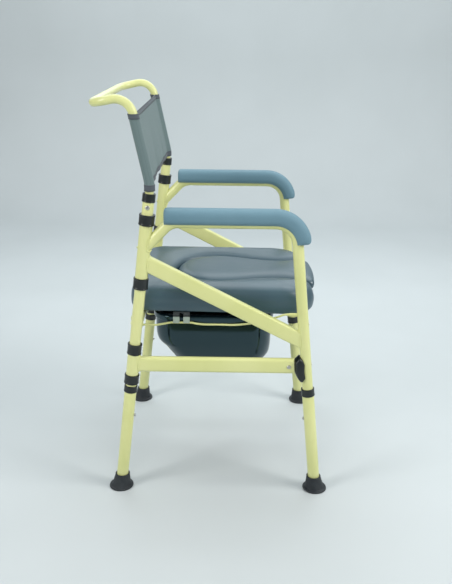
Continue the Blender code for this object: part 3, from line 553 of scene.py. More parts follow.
def make_plastics():
    shader, tone = make_plastic("black_plastic", (0.008, 0.011, 0.011), 0.30, (0.006, 0.009, 0.009),
                                (0.012, 0.017, 0.017), 40.0, 900.0, 0.3)
    set_inputs(shader, Roughness=ramp(tone, 0.24, 0.36))
    make_plastic("clip_plastic", (0.50, 0.56, 0.50), 0.4, (0.30, 0.37, 0.31), (0.44, 0.51, 0.44), 60.0, 700.0,
                 0.25)


def make_rubber():
    """Dark rubber with dust in patches."""
    shader, place = new_material("rubber", (0.012, 0.016, 0.020), 0.55)
    dust = noise_value(place, 35.0, 5.0, 0.65)
    dusty = ramp(dust, 0.0, 0.7, 0.45, 0.75)
    shade = mixed_colour(dusty, (0.010, 0.014, 0.018), (0.045, 0.052, 0.056))
    add_bump(shader, noise_value(place, 1100.0), 0.0001, 0.35)
    set_inputs(shader, Base_Color=shade, Roughness=ramp(dust, 0.45, 0.72, 0.3, 0.7))


def make_zinc():
    shader, place = new_material("zinc", (0.60, 0.60, 0.58), 0.32, 1.0)
    tone = noise_value(place, 300.0, 3.0)
    shade = mixed_colour(tone, (0.50, 0.50, 0.47), (0.68, 0.68, 0.66))
    set_inputs(shader, Base_Color=shade, Roughness=ramp(tone, 0.24, 0.42))


def make_materials():
    make_powder_coat()
    # The seat's skin is far darker than the arm pads': partly painted shade for the dark sides of the seat,
    # partly a glossier skin whose top is lit by reflections
    make_skin("seat_skin", (0.019, 0.056, 0.079), (0.030, 0.076, 0.103), 0.36, 0.22, 900.0, 1.0)
    make_skin("arm_skin", (0.115, 0.218, 0.275), (0.150, 0.266, 0.328), 0.60, 0.5, 750.0, 0.35)
    make_sling_cloth()
    make_hem_cloth()
    make_thread()
    make_pail_plastic()
    make_plastics()
    make_rubber()
    make_zinc()


# Meshes


def new_object(name, shape):
    """An object in the scene with the mesh of a bmesh, which is freed."""
    mesh = bpy.data.meshes.new(name)
    shape.to_mesh(mesh)
    shape.free()
    made = bpy.data.objects.new(name, mesh)
    bpy.context.scene.collection.objects.link(made)
    return made


def add_piece(label, shape, finish, body, replaced="", tag="", sharp=35.0):
    """Make a piece from a bmesh in world coordinates, on a body, in place of a node where one is named.

    A tag says which of several like pieces it is, and ends its name and the node's."""
    bmesh.ops.recalc_face_normals(shape, faces=shape.faces)
    ending = "_" + tag if tag else ""
    piece = new_object(label + ending, shape)
    piece.data.materials.append(MATERIALS[finish])
    piece.data.shade_smooth()
    piece.data.set_sharp_from_angle(angle=math.radians(sharp))
    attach(piece, body)
    if replaced:
        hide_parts(replaced + ending)
    return piece


def apply_modifiers(piece):
    """Replace a piece's mesh by what its modifiers make of it."""
    graph = bpy.context.evaluated_depsgraph_get()
    finished = bpy.data.meshes.new_from_object(piece.evaluated_get(graph))
    piece.modifiers.clear()
    old = piece.data
    piece.data = finished
    bpy.data.meshes.remove(old)


def boolean(piece, shape, operation="DIFFERENCE"):
    """Cut a closed bmesh out of a piece, or keep only what is inside it."""
    bmesh.ops.recalc_face_normals(shape, faces=shape.faces)
    tool = new_object("tool", shape)
    modifier = piece.modifiers.new("cut", "BOOLEAN")
    modifier.operation = operation
    modifier.object = tool
    apply_modifiers(piece)
    bpy.data.objects.remove(tool)


def thicken(piece, thickness):
    solid = piece.modifiers.new("solid", "SOLIDIFY")
    solid.thickness = thickness
    solid.offset = 0.0
    apply_modifiers(piece)


def loft(rings, closed=False):
    """A surface through rings of points, capped at its ends, or closed from the last ring to the first."""
    shape = bmesh.new()
    loops = [[shape.verts.new(point) for point in ring] for ring in rings]
    pairs = list(zip(loops, loops[1:]))
    if closed:
        pairs.append((loops[-1], loops[0]))
    else:
        shape.faces.new(loops[0][::-1])
        shape.faces.new(loops[-1])
    for low, high in pairs:
        for i in range(len(low)):
            j = (i + 1) % len(low)
            shape.faces.new((low[i], low[j], high[j], high[i]))
    return shape


def skin(rows):
    """An open sheet through rows of points that all have the same count."""
    shape = bmesh.new()
    loops = [[shape.verts.new(point) for point in row] for row in rows]
    for low, high in zip(loops, loops[1:]):
        for i in range(len(low) - 1):
            shape.faces.new((low[i], low[i + 1], high[i + 1], high[i]))
    return shape


def joined(shapes):
    whole = bmesh.new()
    for shape in shapes:
        mesh = bpy.data.meshes.new("joined")
        shape.to_mesh(mesh)
        shape.free()
        whole.from_mesh(mesh)
        bpy.data.meshes.remove(mesh)
    return whole


def clamped(share):
    return min(1.0, max(0.0, share))


def blunt(value, power):
    """A power of a number, with the number's sign."""
    return math.copysign(abs(value) ** power, value)


def circle(radius, sides=ROUND):
    turns = [2 * math.pi * i / sides for i in range(sides)]
    return [(radius * math.cos(t), radius * math.sin(t)) for t in turns]


def rounded_box(width, height, corner, steps):
    points = []
    for quarter, (sx, sy) in enumerate(((1, 1), (-1, 1), (-1, -1), (1, -1))):
        cx = sx * (width / 2 - corner)
        cy = sy * (height / 2 - corner)
        for step in range(steps + 1):
            t = math.pi / 2 * (quarter + step / steps)
            points.append((cx + corner * math.cos(t), cy + corner * math.sin(t)))
    return points


def rounded_profile(corners, radius, steps=5):
    """A closed line of radius and height points, each corner rounded."""
    points = [Vector(corner) for corner in corners]
    line = []
    for i, corner in enumerate(points):
        back = points[i - 1] - corner
        ahead = points[(i + 1) % len(points)] - corner
        reach = min(radius, back.length * 0.45, ahead.length * 0.45)
        start = corner + back.normalized() * reach
        end = corner + ahead.normalized() * reach
        for step in range(steps + 1):
            t = step / steps
            line.append(tuple(start.lerp(corner, t).lerp(corner.lerp(end, t), t)))
    return line


def ring_profile(bore, radius, low, high, edge, steps=5):
    return rounded_profile([(bore, low), (radius, low), (radius, high), (bore, high)], edge, steps)


def bent_path(corners, radii=(), step=4.0, run=0.02):
    """Straight runs between corners, each inner corner rounded, with points along the runs too."""
    turns = [Vector(corners[0])]
    for before, corner, after, radius in zip(corners, corners[1:], corners[2:], radii):
        back = (before - corner).normalized()
        ahead = (after - corner).normalized()
        half = back.angle(ahead) / 2
        centre = corner + (back + ahead).normalized() * radius / math.sin(half)
        normal = (corner + back * radius / math.tan(half) - centre).normalized()
        turn = math.pi - 2 * half
        count = max(2, round(math.degrees(turn) / step))
        for i in range(count + 1):
            t = turn * i / count
            turns.append(centre + radius * (normal * math.cos(t) - back * math.sin(t)))
    turns.append(Vector(corners[-1]))
    path = [turns[0]]
    for start, end in zip(turns, turns[1:]):
        count = max(1, round((end - start).length / run))
        path += [start.lerp(end, i / count) for i in range(1, count + 1)]
    return path


def smooth_path(points, per_span):
    """A smooth curve through points of any number of values, by the Catmull-Rom rule."""
    points = [Vector(point) for point in points]
    points = [2 * points[0] - points[1]] + points + [2 * points[-1] - points[-2]]
    path = []
    for a, b, c, d in zip(points, points[1:], points[2:], points[3:]):
        for i in range(per_span):
            t = i / per_span
            path.append(0.5 * (2 * b + (c - a) * t + (2 * a - 5 * b + 4 * c - d) * t * t
                               + (3 * b - a - 3 * c + d) * t ** 3))
    path.append(points[-2])
    return path


def path_lengths(path):
    """How far each point of a path is along it."""
    lengths = [0.0]
    for a, b in zip(path, path[1:]):
        lengths.append(lengths[-1] + (b - a).length)
    return lengths


def at_length(path, lengths, run):
    for a, b, start, end in zip(path, path[1:], lengths, lengths[1:]):
        if run <= end:
            return a.lerp(b, (run - start) / (end - start))
    return path[-1]


def frames(path, across=X_AXIS):
    """Across and up vectors at each point of a path, turned as little as possible along it."""
    result = []
    for i, point in enumerate(path):
        ahead = (path[min(i + 1, len(path) - 1)] - path[max(i - 1, 0)]).normalized()
        across = (across - ahead * across.dot(ahead)).normalized()
        result.append((point, across, ahead.cross(across)))
    return result


def sweep_rings(path, section, across, scales=None):
    rings = []
    for i, (point, side, up) in enumerate(frames(path, across)):
        wide, tall = scales[i] if scales else (1, 1)
        rings.append([point + side * u * wide + up * v * tall for u, v in section])
    return rings


def solid_sweep(path, section, across=X_AXIS, scales=None):
    return loft(sweep_rings(path, section, across, scales))


def hollow_sweep(path, outer, inner, across=X_AXIS):
    outside = sweep_rings(path, outer, across)
    inside = sweep_rings(path, inner, across)
    return loft(outside + inside[::-1], closed=True)


def round_tube(path, radius, across=X_AXIS, sides=ROUND):
    return hollow_sweep(path, circle(radius, sides), circle(radius - TUBE_WALL, sides), across)


def box_tube(start, end, size, corners, steps):
    """A straight tube of rounded oblong section, with its outer and inner corner radius."""
    width, height = size
    outer = rounded_box(width, height, corners[0], steps)
    inner = rounded_box(width - 2 * BOX_WALL, height - 2 * BOX_WALL, corners[1], steps)
    return hollow_sweep(bent_path([start, end]), outer, inner)


def spun(centre, along, across, up, profile, sides=ROUND, closed=False):
    """A shape turned round a line, from points of radius and place along it."""
    rings = []
    for radius, reach in profile:
        rings.append([centre + along * reach + across * u + up * v for u, v in circle(radius, sides)])
    return loft(rings, closed)


def up_leg(axis, side):
    return (axis(1, side) - axis(0, side)).normalized()


def turned(axis, side, profile):
    """A shape turned round a leg's axis from radius and height points."""
    rise = axis(1, side) - axis(0, side)
    return spun(axis(0, side), rise, X_AXIS, up_leg(axis, side).cross(X_AXIS), profile, closed=True)


def cylinder(start, end, radius, sides=24):
    return solid_sweep([start, end], circle(radius, sides))


def cope(piece, axis, side, low, high, radius):
    """Cut a piece where it meets an upright's sleeve or a leg."""
    boolean(piece, cylinder(axis(low, side), axis(high, side), radius, 48))


# Frame tubes


def leg_directions(end, side):
    """Up a leg, and square to it toward the chair's middle."""
    along = up_leg(LEG_AXES[end], side)
    inward = X_AXIS.cross(along).normalized()
    return along, inward if end == "rear" else -inward


def drill(centre, inward, reach, radius):
    return cylinder(centre + inward * reach[0], centre + inward * reach[1], radius)


def hole_cutters(end, side):
    """What cuts the row of adjusting holes in a leg tube."""
    along, inward = leg_directions(end, side)
    first = LEG_AXES[end](BUTTON_HEIGHT[end], side)
    centres = [first - along * HOLE_PITCH * i for i in range(HOLE_COUNT)]
    return joined([drill(centre, inward, HOLE_REACH, HOLE_RADIUS) for centre in centres])


def make_uprights():
    bore = TUBE_RADIUS - TUBE_WALL
    profile = ring_profile(bore, TUBE_RADIUS, LEG_TUBE_BOTTOM, UPRIGHT_TOP, TUBE_EDGE, 3)
    for name, side in SIDES:
        shape = turned(rear_axis, side, profile)
        piece = add_piece("upright_tube", shape, "powder_coat", "back_frame", "upright", name)
        boolean(piece, hole_cutters("rear", side))


def collar_profile(low, high, radius):
    """A collar with a flange at each end and a slight waist between them."""
    bore = TUBE_RADIUS + FIT_GAP
    edge = radius - COLLAR_TAPER
    rise, depth = COLLAR_WAIST
    waist = radius - depth
    corners = [(bore, low), (edge, low), (radius, low + COLLAR_FLANGE), (waist, low + rise),
               (waist, high - rise), (radius, high - COLLAR_FLANGE), (edge, high), (bore, high)]
    return rounded_profile(corners, 0.0012)


def ferrule_profile():
    """The ferrule's sleeve on the upright, with a lip that closes in on the backrest tube."""
    low, high, radius = FERRULE
    lower, upper, depth = FERRULE_FLANGE
    bore = TUBE_RADIUS + FIT_GAP
    lip = BACK_TUBE_RADIUS + FIT_GAP
    under = high - CAP_LIP
    corners = [(bore, low), (radius + depth, low), (radius + depth, low + lower), (radius, low + upper),
               (radius - COLLAR_TAPER, high), (lip, high), (lip, under), (bore, under)]
    return rounded_profile(corners, 0.0010)


def make_collars():
    for name, side in SIDES:
        profiles = [(collar, collar_profile(*size)) for collar, *size in COLLARS]
        for label, profile in profiles + [("backrest_ferrule", ferrule_profile())]:
            shape = turned(rear_axis, side, profile)
            add_piece(label + "_shell", shape, "black_plastic", "back_frame", label, name)


def back_path():
    """The backrest tube's axis, up one post, along the handle and down the other post."""
    corners = []
    for _, side in SIDES:
        post = [Vector((side * HALF_WIDTH, *place)) for place in (BACK_BEND, BACK_TOP, HANDLE)]
        post.insert(0, rear_axis(BACK_TUBE_BOTTOM, side))
        corners += post if side < 0 else post[::-1]
    return bent_path(corners, BACK_RADII + BACK_RADII[::-1], 3.0)


BACK_PATH = back_path()


def post_y(height):
    """Where the backrest tube's axis is, front to back, at a height below its top bend."""
    for low, high in zip(BACK_PATH, BACK_PATH[1:]):
        if low.z <= height <= high.z:
            return low.y + (high.y - low.y) * (height - low.z) / (high.z - low.z)
    return BACK_PATH[0].y


def make_backrest_tube():
    shape = round_tube(BACK_PATH, BACK_TUBE_RADIUS, sides=40)
    add_piece("backrest_handle_tube", shape, "powder_coat", "back_frame", "backrest_tube")


def make_screw(label, name, body, place, side, size):
    """A domed screw head with a cross recess, pointing along X."""
    radius, height = size
    out = X_AXIS * side
    profile = [(SCREW_SHANK, -SCREW_DEPTH), (SCREW_SHANK, SCREW_LIFT), (radius, SCREW_LIFT)]
    for t in (0, 0.35, 0.7, 1.05, 1.35):
        profile.append((radius * math.cos(t), height * (DOME_START + (1 - DOME_START) * math.sin(t))))
    shape = spun(place, out, Y_AXIS, Z_AXIS, profile, 32)
    piece = add_piece(label + "_screw_head", shape, "zinc", body, label + "_screw", name)
    for turn in (RECESS_TURN, RECESS_TURN + math.pi / 2):
        tip = Vector((0, math.cos(turn), math.sin(turn))) * radius * RECESS_REACH
        width = Vector((0, -math.sin(turn), math.cos(turn))) * RECESS_HALF_WIDTH
        recess = []
        for reach in (height * RECESS_FLOOR, height + 0.002):
            centre = place + out * reach
            recess.append([centre + tip + width, centre - tip + width, centre - tip - width,
                           centre + tip - width])
        boolean(piece, loft(recess))


def bead_ring(middle, out, ahead, bead):
    """A ring round a weld bead, whose size is a little uneven from place to place."""
    thickness, unevenness, fineness = bead
    size = thickness * (1 + unevenness * noise.noise(middle * fineness))
    return [middle + out * u * size + ahead * v * size for u, v in circle(1.0, 10)]


def make_crossbar():
    """The bar that carries the seat, welded between the uprights."""
    reach = HALF_WIDTH - TUBE_RADIUS * 0.8
    ends = [Vector((side * reach, CROSSBAR_Y, CROSSBAR_HEIGHT)) for _, side in SIDES]
    shapes = [round_tube(bent_path(ends), TUBE_RADIUS, Y_AXIS)]
    for _, side in SIDES:
        rings = []
        for y, z in circle(TUBE_RADIUS):
            depth = math.sqrt((TUBE_RADIUS + CROSSBAR_BEAD_LIFT) ** 2 - y * y)
            middle = Vector((side * (HALF_WIDTH - depth), CROSSBAR_Y + y, CROSSBAR_HEIGHT + z))
            rings.append(bead_ring(middle, Vector((0, y, z)).normalized(), X_AXIS, CROSSBAR_BEAD))
        shapes.append(loft(rings, closed=True))
    add_piece("seat_crossbar_tube", joined(shapes), "powder_coat", "back_frame", "seat_crossbar")


# Side frames


def coped_bead(start, ahead, size, axis, side, radius):
    """A weld bead where a tube of a width and height runs into an upright's sleeve or a leg."""
    along = up_leg(axis, side)
    up = ahead.cross(X_AXIS).normalized()
    run = ahead - along * ahead.dot(along)
    a = run.dot(run)
    rings = []
    for cosine, sine in circle(1.0, BEAD_STEPS):
        offset = X_AXIS * size[0] / 2 * blunt(cosine, BEAD_POWER) + up * size[1] / 2 * blunt(sine, BEAD_POWER)
        point = start + offset
        flat = point - axis(start.z, side)
        flat -= along * flat.dot(along)
        b = 2 * flat.dot(run)
        c = flat.dot(flat) - (radius + FIT_GAP) ** 2
        root = math.sqrt(max(0, b * b - 4 * a * c))
        steps = [(-b - root) / (2 * a), (-b + root) / (2 * a)]
        rings.append(bead_ring(point + ahead * min(steps, key=abs), offset.normalized(), ahead, BEAD))
    return loft(rings, closed=True)


def make_side_tube(name, side):
    """The arm tube and front leg in one bent tube."""
    x = side * HALF_WIDTH
    body = "side_" + name
    corners = [Vector((x, *SLANT_END)), Vector((x, ARM_REAR_CORNER_Y, ARM_HEIGHT)),
               front_axis(ARM_HEIGHT, side), front_axis(LEG_TUBE_BOTTOM, side)]
    path = bent_path(corners, (ARM_REAR_BEND, ARM_FRONT_BEND), 3.0)
    shape = round_tube(path, TUBE_RADIUS)
    piece = add_piece("side_frame_tube", shape, "powder_coat", body, "side_tube", name)
    cope(piece, rear_axis, side, 0.50, 0.70, SLEEVE_RADIUS + COPE_GAP)
    boolean(piece, hole_cutters("front", side))
    ahead = (path[0] - path[1]).normalized()
    size = (2 * TUBE_RADIUS, 2 * TUBE_RADIUS)
    bead = coped_bead(path[0] - ahead * ARM_WELD_SETBACK, ahead, size, rear_axis, side, SLEEVE_RADIUS)
    add_piece("arm_weld", bead, "powder_coat", body, tag=name)


def make_sleeves(name, side):
    for sleeve, low, high in SLEEVES:
        profile = ring_profile(SLEEVE_BORE, SLEEVE_RADIUS, low, high, 0.0008)
        shape = turned(rear_axis, side, profile)
        add_piece(sleeve + "_tube", shape, "powder_coat", "side_" + name, sleeve, name)


def make_brace(name, side):
    body = "side_" + name
    start = Vector((side * HALF_WIDTH, *BRACE_REAR))
    end = Vector((side * HALF_WIDTH, *BRACE_FRONT))
    ahead = (end - start).normalized()
    shape = box_tube(start, end + ahead * BRACE_REACH, BRACE_SIZE, BRACE_CORNERS, 6)
    piece = add_piece("diagonal_brace_tube", shape, "powder_coat", body, "diagonal_brace", name)
    cope(piece, rear_axis, side, 0.45, 0.70, SLEEVE_RADIUS + COPE_GAP)
    cope(piece, front_axis, side, 0.30, 0.50, TUBE_RADIUS + COPE_GAP)
    rear = coped_bead(start + ahead * BEAD_SETBACK, -ahead, BRACE_SIZE, rear_axis, side, SLEEVE_RADIUS)
    front = coped_bead(end - ahead * BEAD_SETBACK, ahead, BRACE_SIZE, front_axis, side, TUBE_RADIUS)
    add_piece("brace_welds", joined([rear, front]), "powder_coat", body, tag=name)


def make_lower_bar(name, side):
    body = "side_" + name
    start = rear_axis(BAR_HEIGHT, side)
    end = Vector((side * HALF_WIDTH, BAR_FRONT_Y, BAR_HEIGHT))
    shape = box_tube(start, end, BAR_SIZE, BAR_CORNERS, 10)
    piece = add_piece("lower_bar_tube", shape, "powder_coat", body, "lower_bar", name)
    cope(piece, rear_axis, side, 0.25, 0.40, SLEEVE_RADIUS + COPE_GAP)
    bead = coped_bead(start - Y_AXIS * BEAD_SETBACK, Y_AXIS, BAR_SIZE, rear_axis, side, SLEEVE_RADIUS)
    add_piece("bar_weld", bead, "powder_coat", body, tag=name)
    place = Vector((side * (HALF_WIDTH + BAR_SIZE[0] / 2), BAR_SCREW_Y, BAR_HEIGHT))
    make_screw("bar", name, body, place, side, BAR_SCREW)


def make_saddle(name, side):
    """The plastic saddle between the front leg and the lower bar, rounded across its width."""
    outline = [Vector(point) for point in rounded_profile(SADDLE_OUTLINE, 0.0025, 4)]
    centre = sum(outline, Vector((0, 0))) / len(outline)
    rings = []
    for step in range(SADDLE_STEPS + 1):
        share = math.cos(math.pi * step / SADDLE_STEPS)
        inset = SADDLE_ROUND * (1 - math.sqrt(1 - (0.98 * share) ** 2))
        x = side * HALF_WIDTH + SADDLE_HALF_WIDTH * share
        moved = [point - (point - centre).normalized() * inset for point in outline]
        rings.append([Vector((x, *point)) for point in moved])
    body = "side_" + name
    piece = add_piece("leg_saddle_shell", loft(rings), "black_plastic", body, "leg_saddle", name)
    cope(piece, front_axis, side, 0.20, 0.45, TUBE_RADIUS + FIT_GAP)


def make_stud(name, side):
    """The stud on the front leg's inner side that the carrier rod rests on."""
    centre = front_axis(STUD_HEIGHT, side)
    centre.x = 0
    face = HALF_WIDTH - TUBE_RADIUS - 0.0001
    profile = ((0.0046, face), (0.0040, face - 0.0005), (STUD_RADIUS, face - 0.0012),
               (STUD_RADIUS, STUD_INNER_X + 0.0006), (STUD_RADIUS - 0.0006, STUD_INNER_X))
    shape = spun(centre, X_AXIS * side, Y_AXIS, Z_AXIS, profile, 32)
    add_piece("seat_stud_pin", shape, "zinc", "side_" + name, "seat_stud", name)


def make_rivets(name, side):
    """The two rivet ends on the front leg's front face."""
    places = [front_axis(height, side) - Y_AXIS * TUBE_RADIUS for height in RIVET_HEIGHTS]
    rivets = [spun(place, -Y_AXIS, X_AXIS, Z_AXIS, RIVET_PROFILE, 20) for place in places]
    add_piece("leg_rivets", joined(rivets), "zinc", "side_" + name, tag=name)


def pad_section(count=22, groove_count=13):
    """The arm pad's section: over its top, in under the lower edges and round the tube's groove."""
    middle = (PAD_LOW + PAD_HIGH) / 2
    half = (PAD_HIGH - PAD_LOW) / 2
    power = 2 / PAD_SQUARENESS
    start = math.radians(PAD_UNDERCUT)
    outside = []
    for i in range(count + 1):
        t = start + (math.pi - 2 * start) * i / count
        u = PAD_HALF_WIDTH * blunt(math.cos(t), power)
        outside.append((u, middle + half * blunt(math.sin(t), power)))
    edge = math.atan2(outside[0][1], outside[0][0])
    inside = []
    for i in range(groove_count + 1):
        t = math.pi - edge - (math.pi - 2 * edge) * i / groove_count
        inside.append((GROOVE_RADIUS * math.cos(t), GROOVE_RADIUS * math.sin(t)))
    return outside, inside


def drawn_in(run, reach, share):
    """How much a pad is drawn in at a distance from an end that rounds over within a reach."""
    gap = min(1.0, run / reach)
    return share * (1 - math.sqrt(1 - (1 - gap) ** 2))


def make_arm_pad(name, side):
    """A moulded pad whose ends round over, hollowed underneath for the tube."""
    corners = [Vector((side * HALF_WIDTH, PAD_REAR_Y, ARM_HEIGHT)), front_axis(ARM_HEIGHT, side),
               front_axis(PAD_FRONT_HEIGHT, side)]
    path = bent_path(corners, (ARM_FRONT_BEND,), 4.0, 0.006)
    lengths = path_lengths(path)
    total = lengths[-1]
    stations = list(PAD_END_STEPS)
    stations += [run for run in lengths if PAD_ENDS < run < total - PAD_ENDS]
    stations += [total - run for run in PAD_END_STEPS[::-1]]
    middle = (PAD_LOW + PAD_HIGH) / 2
    outside, inside = pad_section()
    places = frames([at_length(path, lengths, run) for run in stations])
    rings = []
    for run, (point, across, up) in zip(stations, places):
        if up.z < up.y:
            up = -up
        scale = 1 - drawn_in(run, *PAD_REAR_ROUND) - drawn_in(total - run, *PAD_FRONT_ROUND)
        ring = []
        for u, v in outside:
            u, v = u * scale, middle + (v - middle) * scale
            stretch = max(1, (GROOVE_RADIUS + GROOVE_WALL) / math.hypot(u, v))
            ring.append(point + across * u * stretch + up * v * stretch)
        rings.append(ring + [point + across * u + up * v for u, v in inside])
    piece = add_piece("arm_pad_skin", loft(rings), "arm_skin", "side_" + name, "arm_pad", name, 50.0)


# Legs


def make_leg(end, name, side):
    axis = LEG_AXES[end]
    tag = f"{end}_{name}"
    body = "leg_" + tag
    low, high = CAPS[end]
    under = high - CAP_LIP
    profile = ring_profile(EXTENSION_BORE, EXTENSION_RADIUS, EXTENSION_BOTTOM, under - FIT_GAP, 0.0003, 2)
    shape = turned(axis, side, profile)
    tube = add_piece("leg_extension_tube", shape, "powder_coat", body, "leg_extension", tag)
    centre = axis(BUTTON_HEIGHT[end], side)
    inward = leg_directions(end, side)[1]
    boolean(tube, drill(centre, inward, BUTTON_HOLE_REACH, BUTTON_HOLE_RADIUS))
    bore = EXTENSION_RADIUS + FIT_GAP
    lower, upper, depth = CAP_FLANGE
    flange = CAP_RADIUS + depth
    corners = [(bore, low), (flange, low), (flange, low + lower), (CAP_RADIUS, low + upper),
               (CAP_RADIUS, high - 0.0010), (CAP_RADIUS - 0.0012, high), (EXTENSION_BORE, high),
               (EXTENSION_BORE, under), (bore, under)]
    shape = turned(axis, side, rounded_profile(corners, 0.0007, 3))
    add_piece("leg_cap_shell", shape, "black_plastic", body, "leg_cap", tag)
    make_foot(tag, axis, side, body)
    make_button(tag, centre, inward)


def make_foot(tag, axis, side, body):
    """A rubber foot: a flanged, ringed sole under a cone, with a shallow hollow in the sole."""
    rise = axis(1, side) - axis(0, side)
    profile = rounded_profile(FOOT_CORNERS, 0.0011, 3)
    shape = spun(axis(0, side), rise, X_AXIS, Y_AXIS, profile, closed=True)
    add_piece("foot_rubber", shape, "rubber", body, "foot", tag)


def make_button(tag, centre, inward):
    """The domed end of a spring button, through its hole."""
    base, shoulder, top = BUTTON_REACH
    profile = [(BUTTON_RADIUS - 0.0004, base), (BUTTON_RADIUS, shoulder)]
    for t in (0, 0.3, 0.6, 0.9, 1.2, 1.45):
        profile.append((BUTTON_RADIUS * math.cos(t), top + BUTTON_DOME * math.sin(t)))
    shape = spun(centre, inward, X_AXIS, inward.cross(X_AXIS), profile, 28)
    add_piece("spring_button", shape, "zinc", "button_" + tag, "button", tag)


# Seat


def opening_half_width(y, extra):
    """Half the opening's width at a place front to back, ahead of its widest line."""
    wave = 0.5 * (1 + math.cos(math.pi * y / OPENING_NECK_Y))
    return OPENING_NECK + extra + (OPENING_WIDEST - OPENING_NECK) * wave


def lowered(point, height):
    """A point of the seat or pad at a height, lower where the seat's top falls toward its front."""
    share = clamped((SEAT_FALL_START_Y - point.y) / SEAT_FALL_RUN)
    rise = clamped((height - SEAT_FALL_LOW) / SEAT_FALL_BAND)
    return point + Z_AXIS * (height - SEAT_FALL * share * share * rise)


def opening_outline(extra, front, corner=0.0, bulge=0.0):
    """The opening's plan, drawn out by extra: round rear, waisted sides, a front with round corners."""
    width = opening_half_width(front, extra)
    half = [((width - corner) * i / OPENING_FRONT_STEPS, front) for i in range(OPENING_FRONT_STEPS)]
    for i in range(OPENING_CORNER_STEPS):
        t = math.pi / 2 * i / OPENING_CORNER_STEPS
        y = front + corner * (1 - math.cos(t))
        half.append((opening_half_width(y, extra) - corner * (1 - math.sin(t)), y))
    for i in range(OPENING_SIDE_STEPS):
        y = (front + corner) * (1 - i / OPENING_SIDE_STEPS)
        half.append((opening_half_width(y, extra), y))
    for i in range(OPENING_REAR_STEPS + 1):
        t = math.pi / 2 * i / OPENING_REAR_STEPS
        half.append(((OPENING_WIDEST + extra) * math.cos(t), (OPENING_REAR + extra) * math.sin(t)))
    line = []
    for x, y in half:
        fade = max(0.0, 1 - (y - front) / (0.001 + 2 * corner))
        line.append(Vector((x, y - bulge * fade * (1 - min(1.0, x / width) ** 2), 0)))
    return line + [Vector((-point.x, point.y, 0)) for point in reversed(line[1:-1])]


def rounded_outline(half_width, front, rear, rear_corner, front_corner, steps=16):
    """A rectangle in plan with round corners."""
    rear_y = rear - rear_corner
    front_y = front + front_corner
    points = []
    for quarter, (sign, cy, corner) in enumerate(((1, rear_y, rear_corner), (-1, rear_y, rear_corner),
                                                  (-1, front_y, front_corner), (1, front_y, front_corner))):
        cx = sign * (half_width - corner)
        for step in range(steps + 1):
            t = math.pi / 2 * (quarter + step / steps)
            points.append(Vector((cx + corner * math.cos(t), cy + corner * math.sin(t), 0)))
    return points


def make_seat():
    """The horseshoe seat: a pillowed block with the waisted opening cut out of it."""
    rings = []
    for height, side_in, front_in, rear_in in smooth_path(SEAT_LEVELS, 2):
        outline = rounded_outline(SEAT_HALF_WIDTH - side_in, SEAT_FRONT_Y + front_in, SEAT_REAR_Y - rear_in,
                                  SEAT_REAR_CORNER - side_in / 2, SEAT_FRONT_CORNER - side_in / 2, 14)
        low = max(0.0, (SEAT_LIP_TOP - height) / SEAT_LIP_BAND)
        ring = []
        for point in outline:
            sag = SEAT_LIP * low * clamped((SEAT_LIP_REAR_Y - point.y) / SEAT_LIP_RUN)
            ring.append(lowered(point, height - sag))
        rings.append(ring)
    piece = add_piece("seat_cushion_skin", loft(rings), "seat_skin", "seat_unit", "seat_cushion", sharp=50.0)
    cutter = []
    for height, extra in OPENING_LEVELS:
        cutter.append([lowered(point, height) for point in opening_outline(extra, OPENING_CUT_Y)])
    boolean(piece, loft(cutter))
    piece.data.set_sharp_from_angle(angle=math.radians(50))


def make_middle_pad():
    """The lift-out pad: waisted, crowned along its middle, with a lip that runs over the seat's front."""
    rings = []
    for height, side_in, front_in in smooth_path(PAD_LEVELS, 2):
        outline = opening_outline(-side_in, PLUG_FRONT_Y + front_in, PLUG_CORNER, PLUG_BULGE)
        rings.append([lowered(point, height) for point in outline])
    piece = add_piece("middle_pad_skin", loft(rings), "seat_skin", "middle_pad", "middle_pad", sharp=60.0)


# Carrier rods, clips and pail


def rod_path(side):
    """A rod's hook round the crossbar, then its route forward."""
    route = []
    for degrees in (110, 80, 50, 25, 0):
        t = math.radians(degrees)
        route.append((ROD_HOOK_X, CROSSBAR_Y + ROD_HOOK_RADIUS * math.sin(t),
                      CROSSBAR_HEIGHT - ROD_HOOK_RADIUS * math.cos(t)))
    route.append((ROD_HOOK_X - 0.002, CROSSBAR_Y - 0.020, CROSSBAR_HEIGHT - ROD_HOOK_RADIUS))
    route += ROD_ROUTE
    return smooth_path([(side * x, y, z) for x, y, z in route], 8)


def make_rods():
    """The rods, each flattened to an upright blade where it rests on its stud."""
    for name, side in SIDES:
        path = rod_path(side)
        scales = []
        for point in path:
            flat = clamped((BLADE_START_Y - point.y) / 0.010)
            tip = clamped((point.y - BLADE_TIP_Y) / 0.004)
            round_tip = math.sqrt(1 - (1 - tip) ** 2)
            scales.append((1 - 0.5 * flat, (1 + 0.8 * flat) * (0.45 + 0.55 * round_tip)))
        shape = solid_sweep(path, circle(ROD_RADIUS, 20), X_AXIS, scales)
        add_piece("carrier_rod_wire", shape, "powder_coat", "seat_unit", "carrier_rod", name)


def make_clip(label, name, finish="clip_plastic", part=""):
    """A finer copy of a clip: the node's own solid with small rounded edges."""
    shape = bmesh.new()
    shape.from_mesh(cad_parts[f"{label}_{name}"].data)
    bmesh.ops.remove_doubles(shape, verts=shape.verts, dist=0.00002)
    bmesh.ops.dissolve_limit(shape, angle_limit=math.radians(1), verts=shape.verts, edges=shape.edges)
    replaced = "" if part else label
    piece = add_piece(label + "_body", shape, finish, "seat_unit", replaced, name + part)
    bevel = piece.modifiers.new("bevel", "BEVEL")
    bevel.width = 0.0006
    bevel.segments = 3
    bevel.limit_method = "ANGLE"
    bevel.angle_limit = math.radians(35)
    apply_modifiers(piece)
    return piece


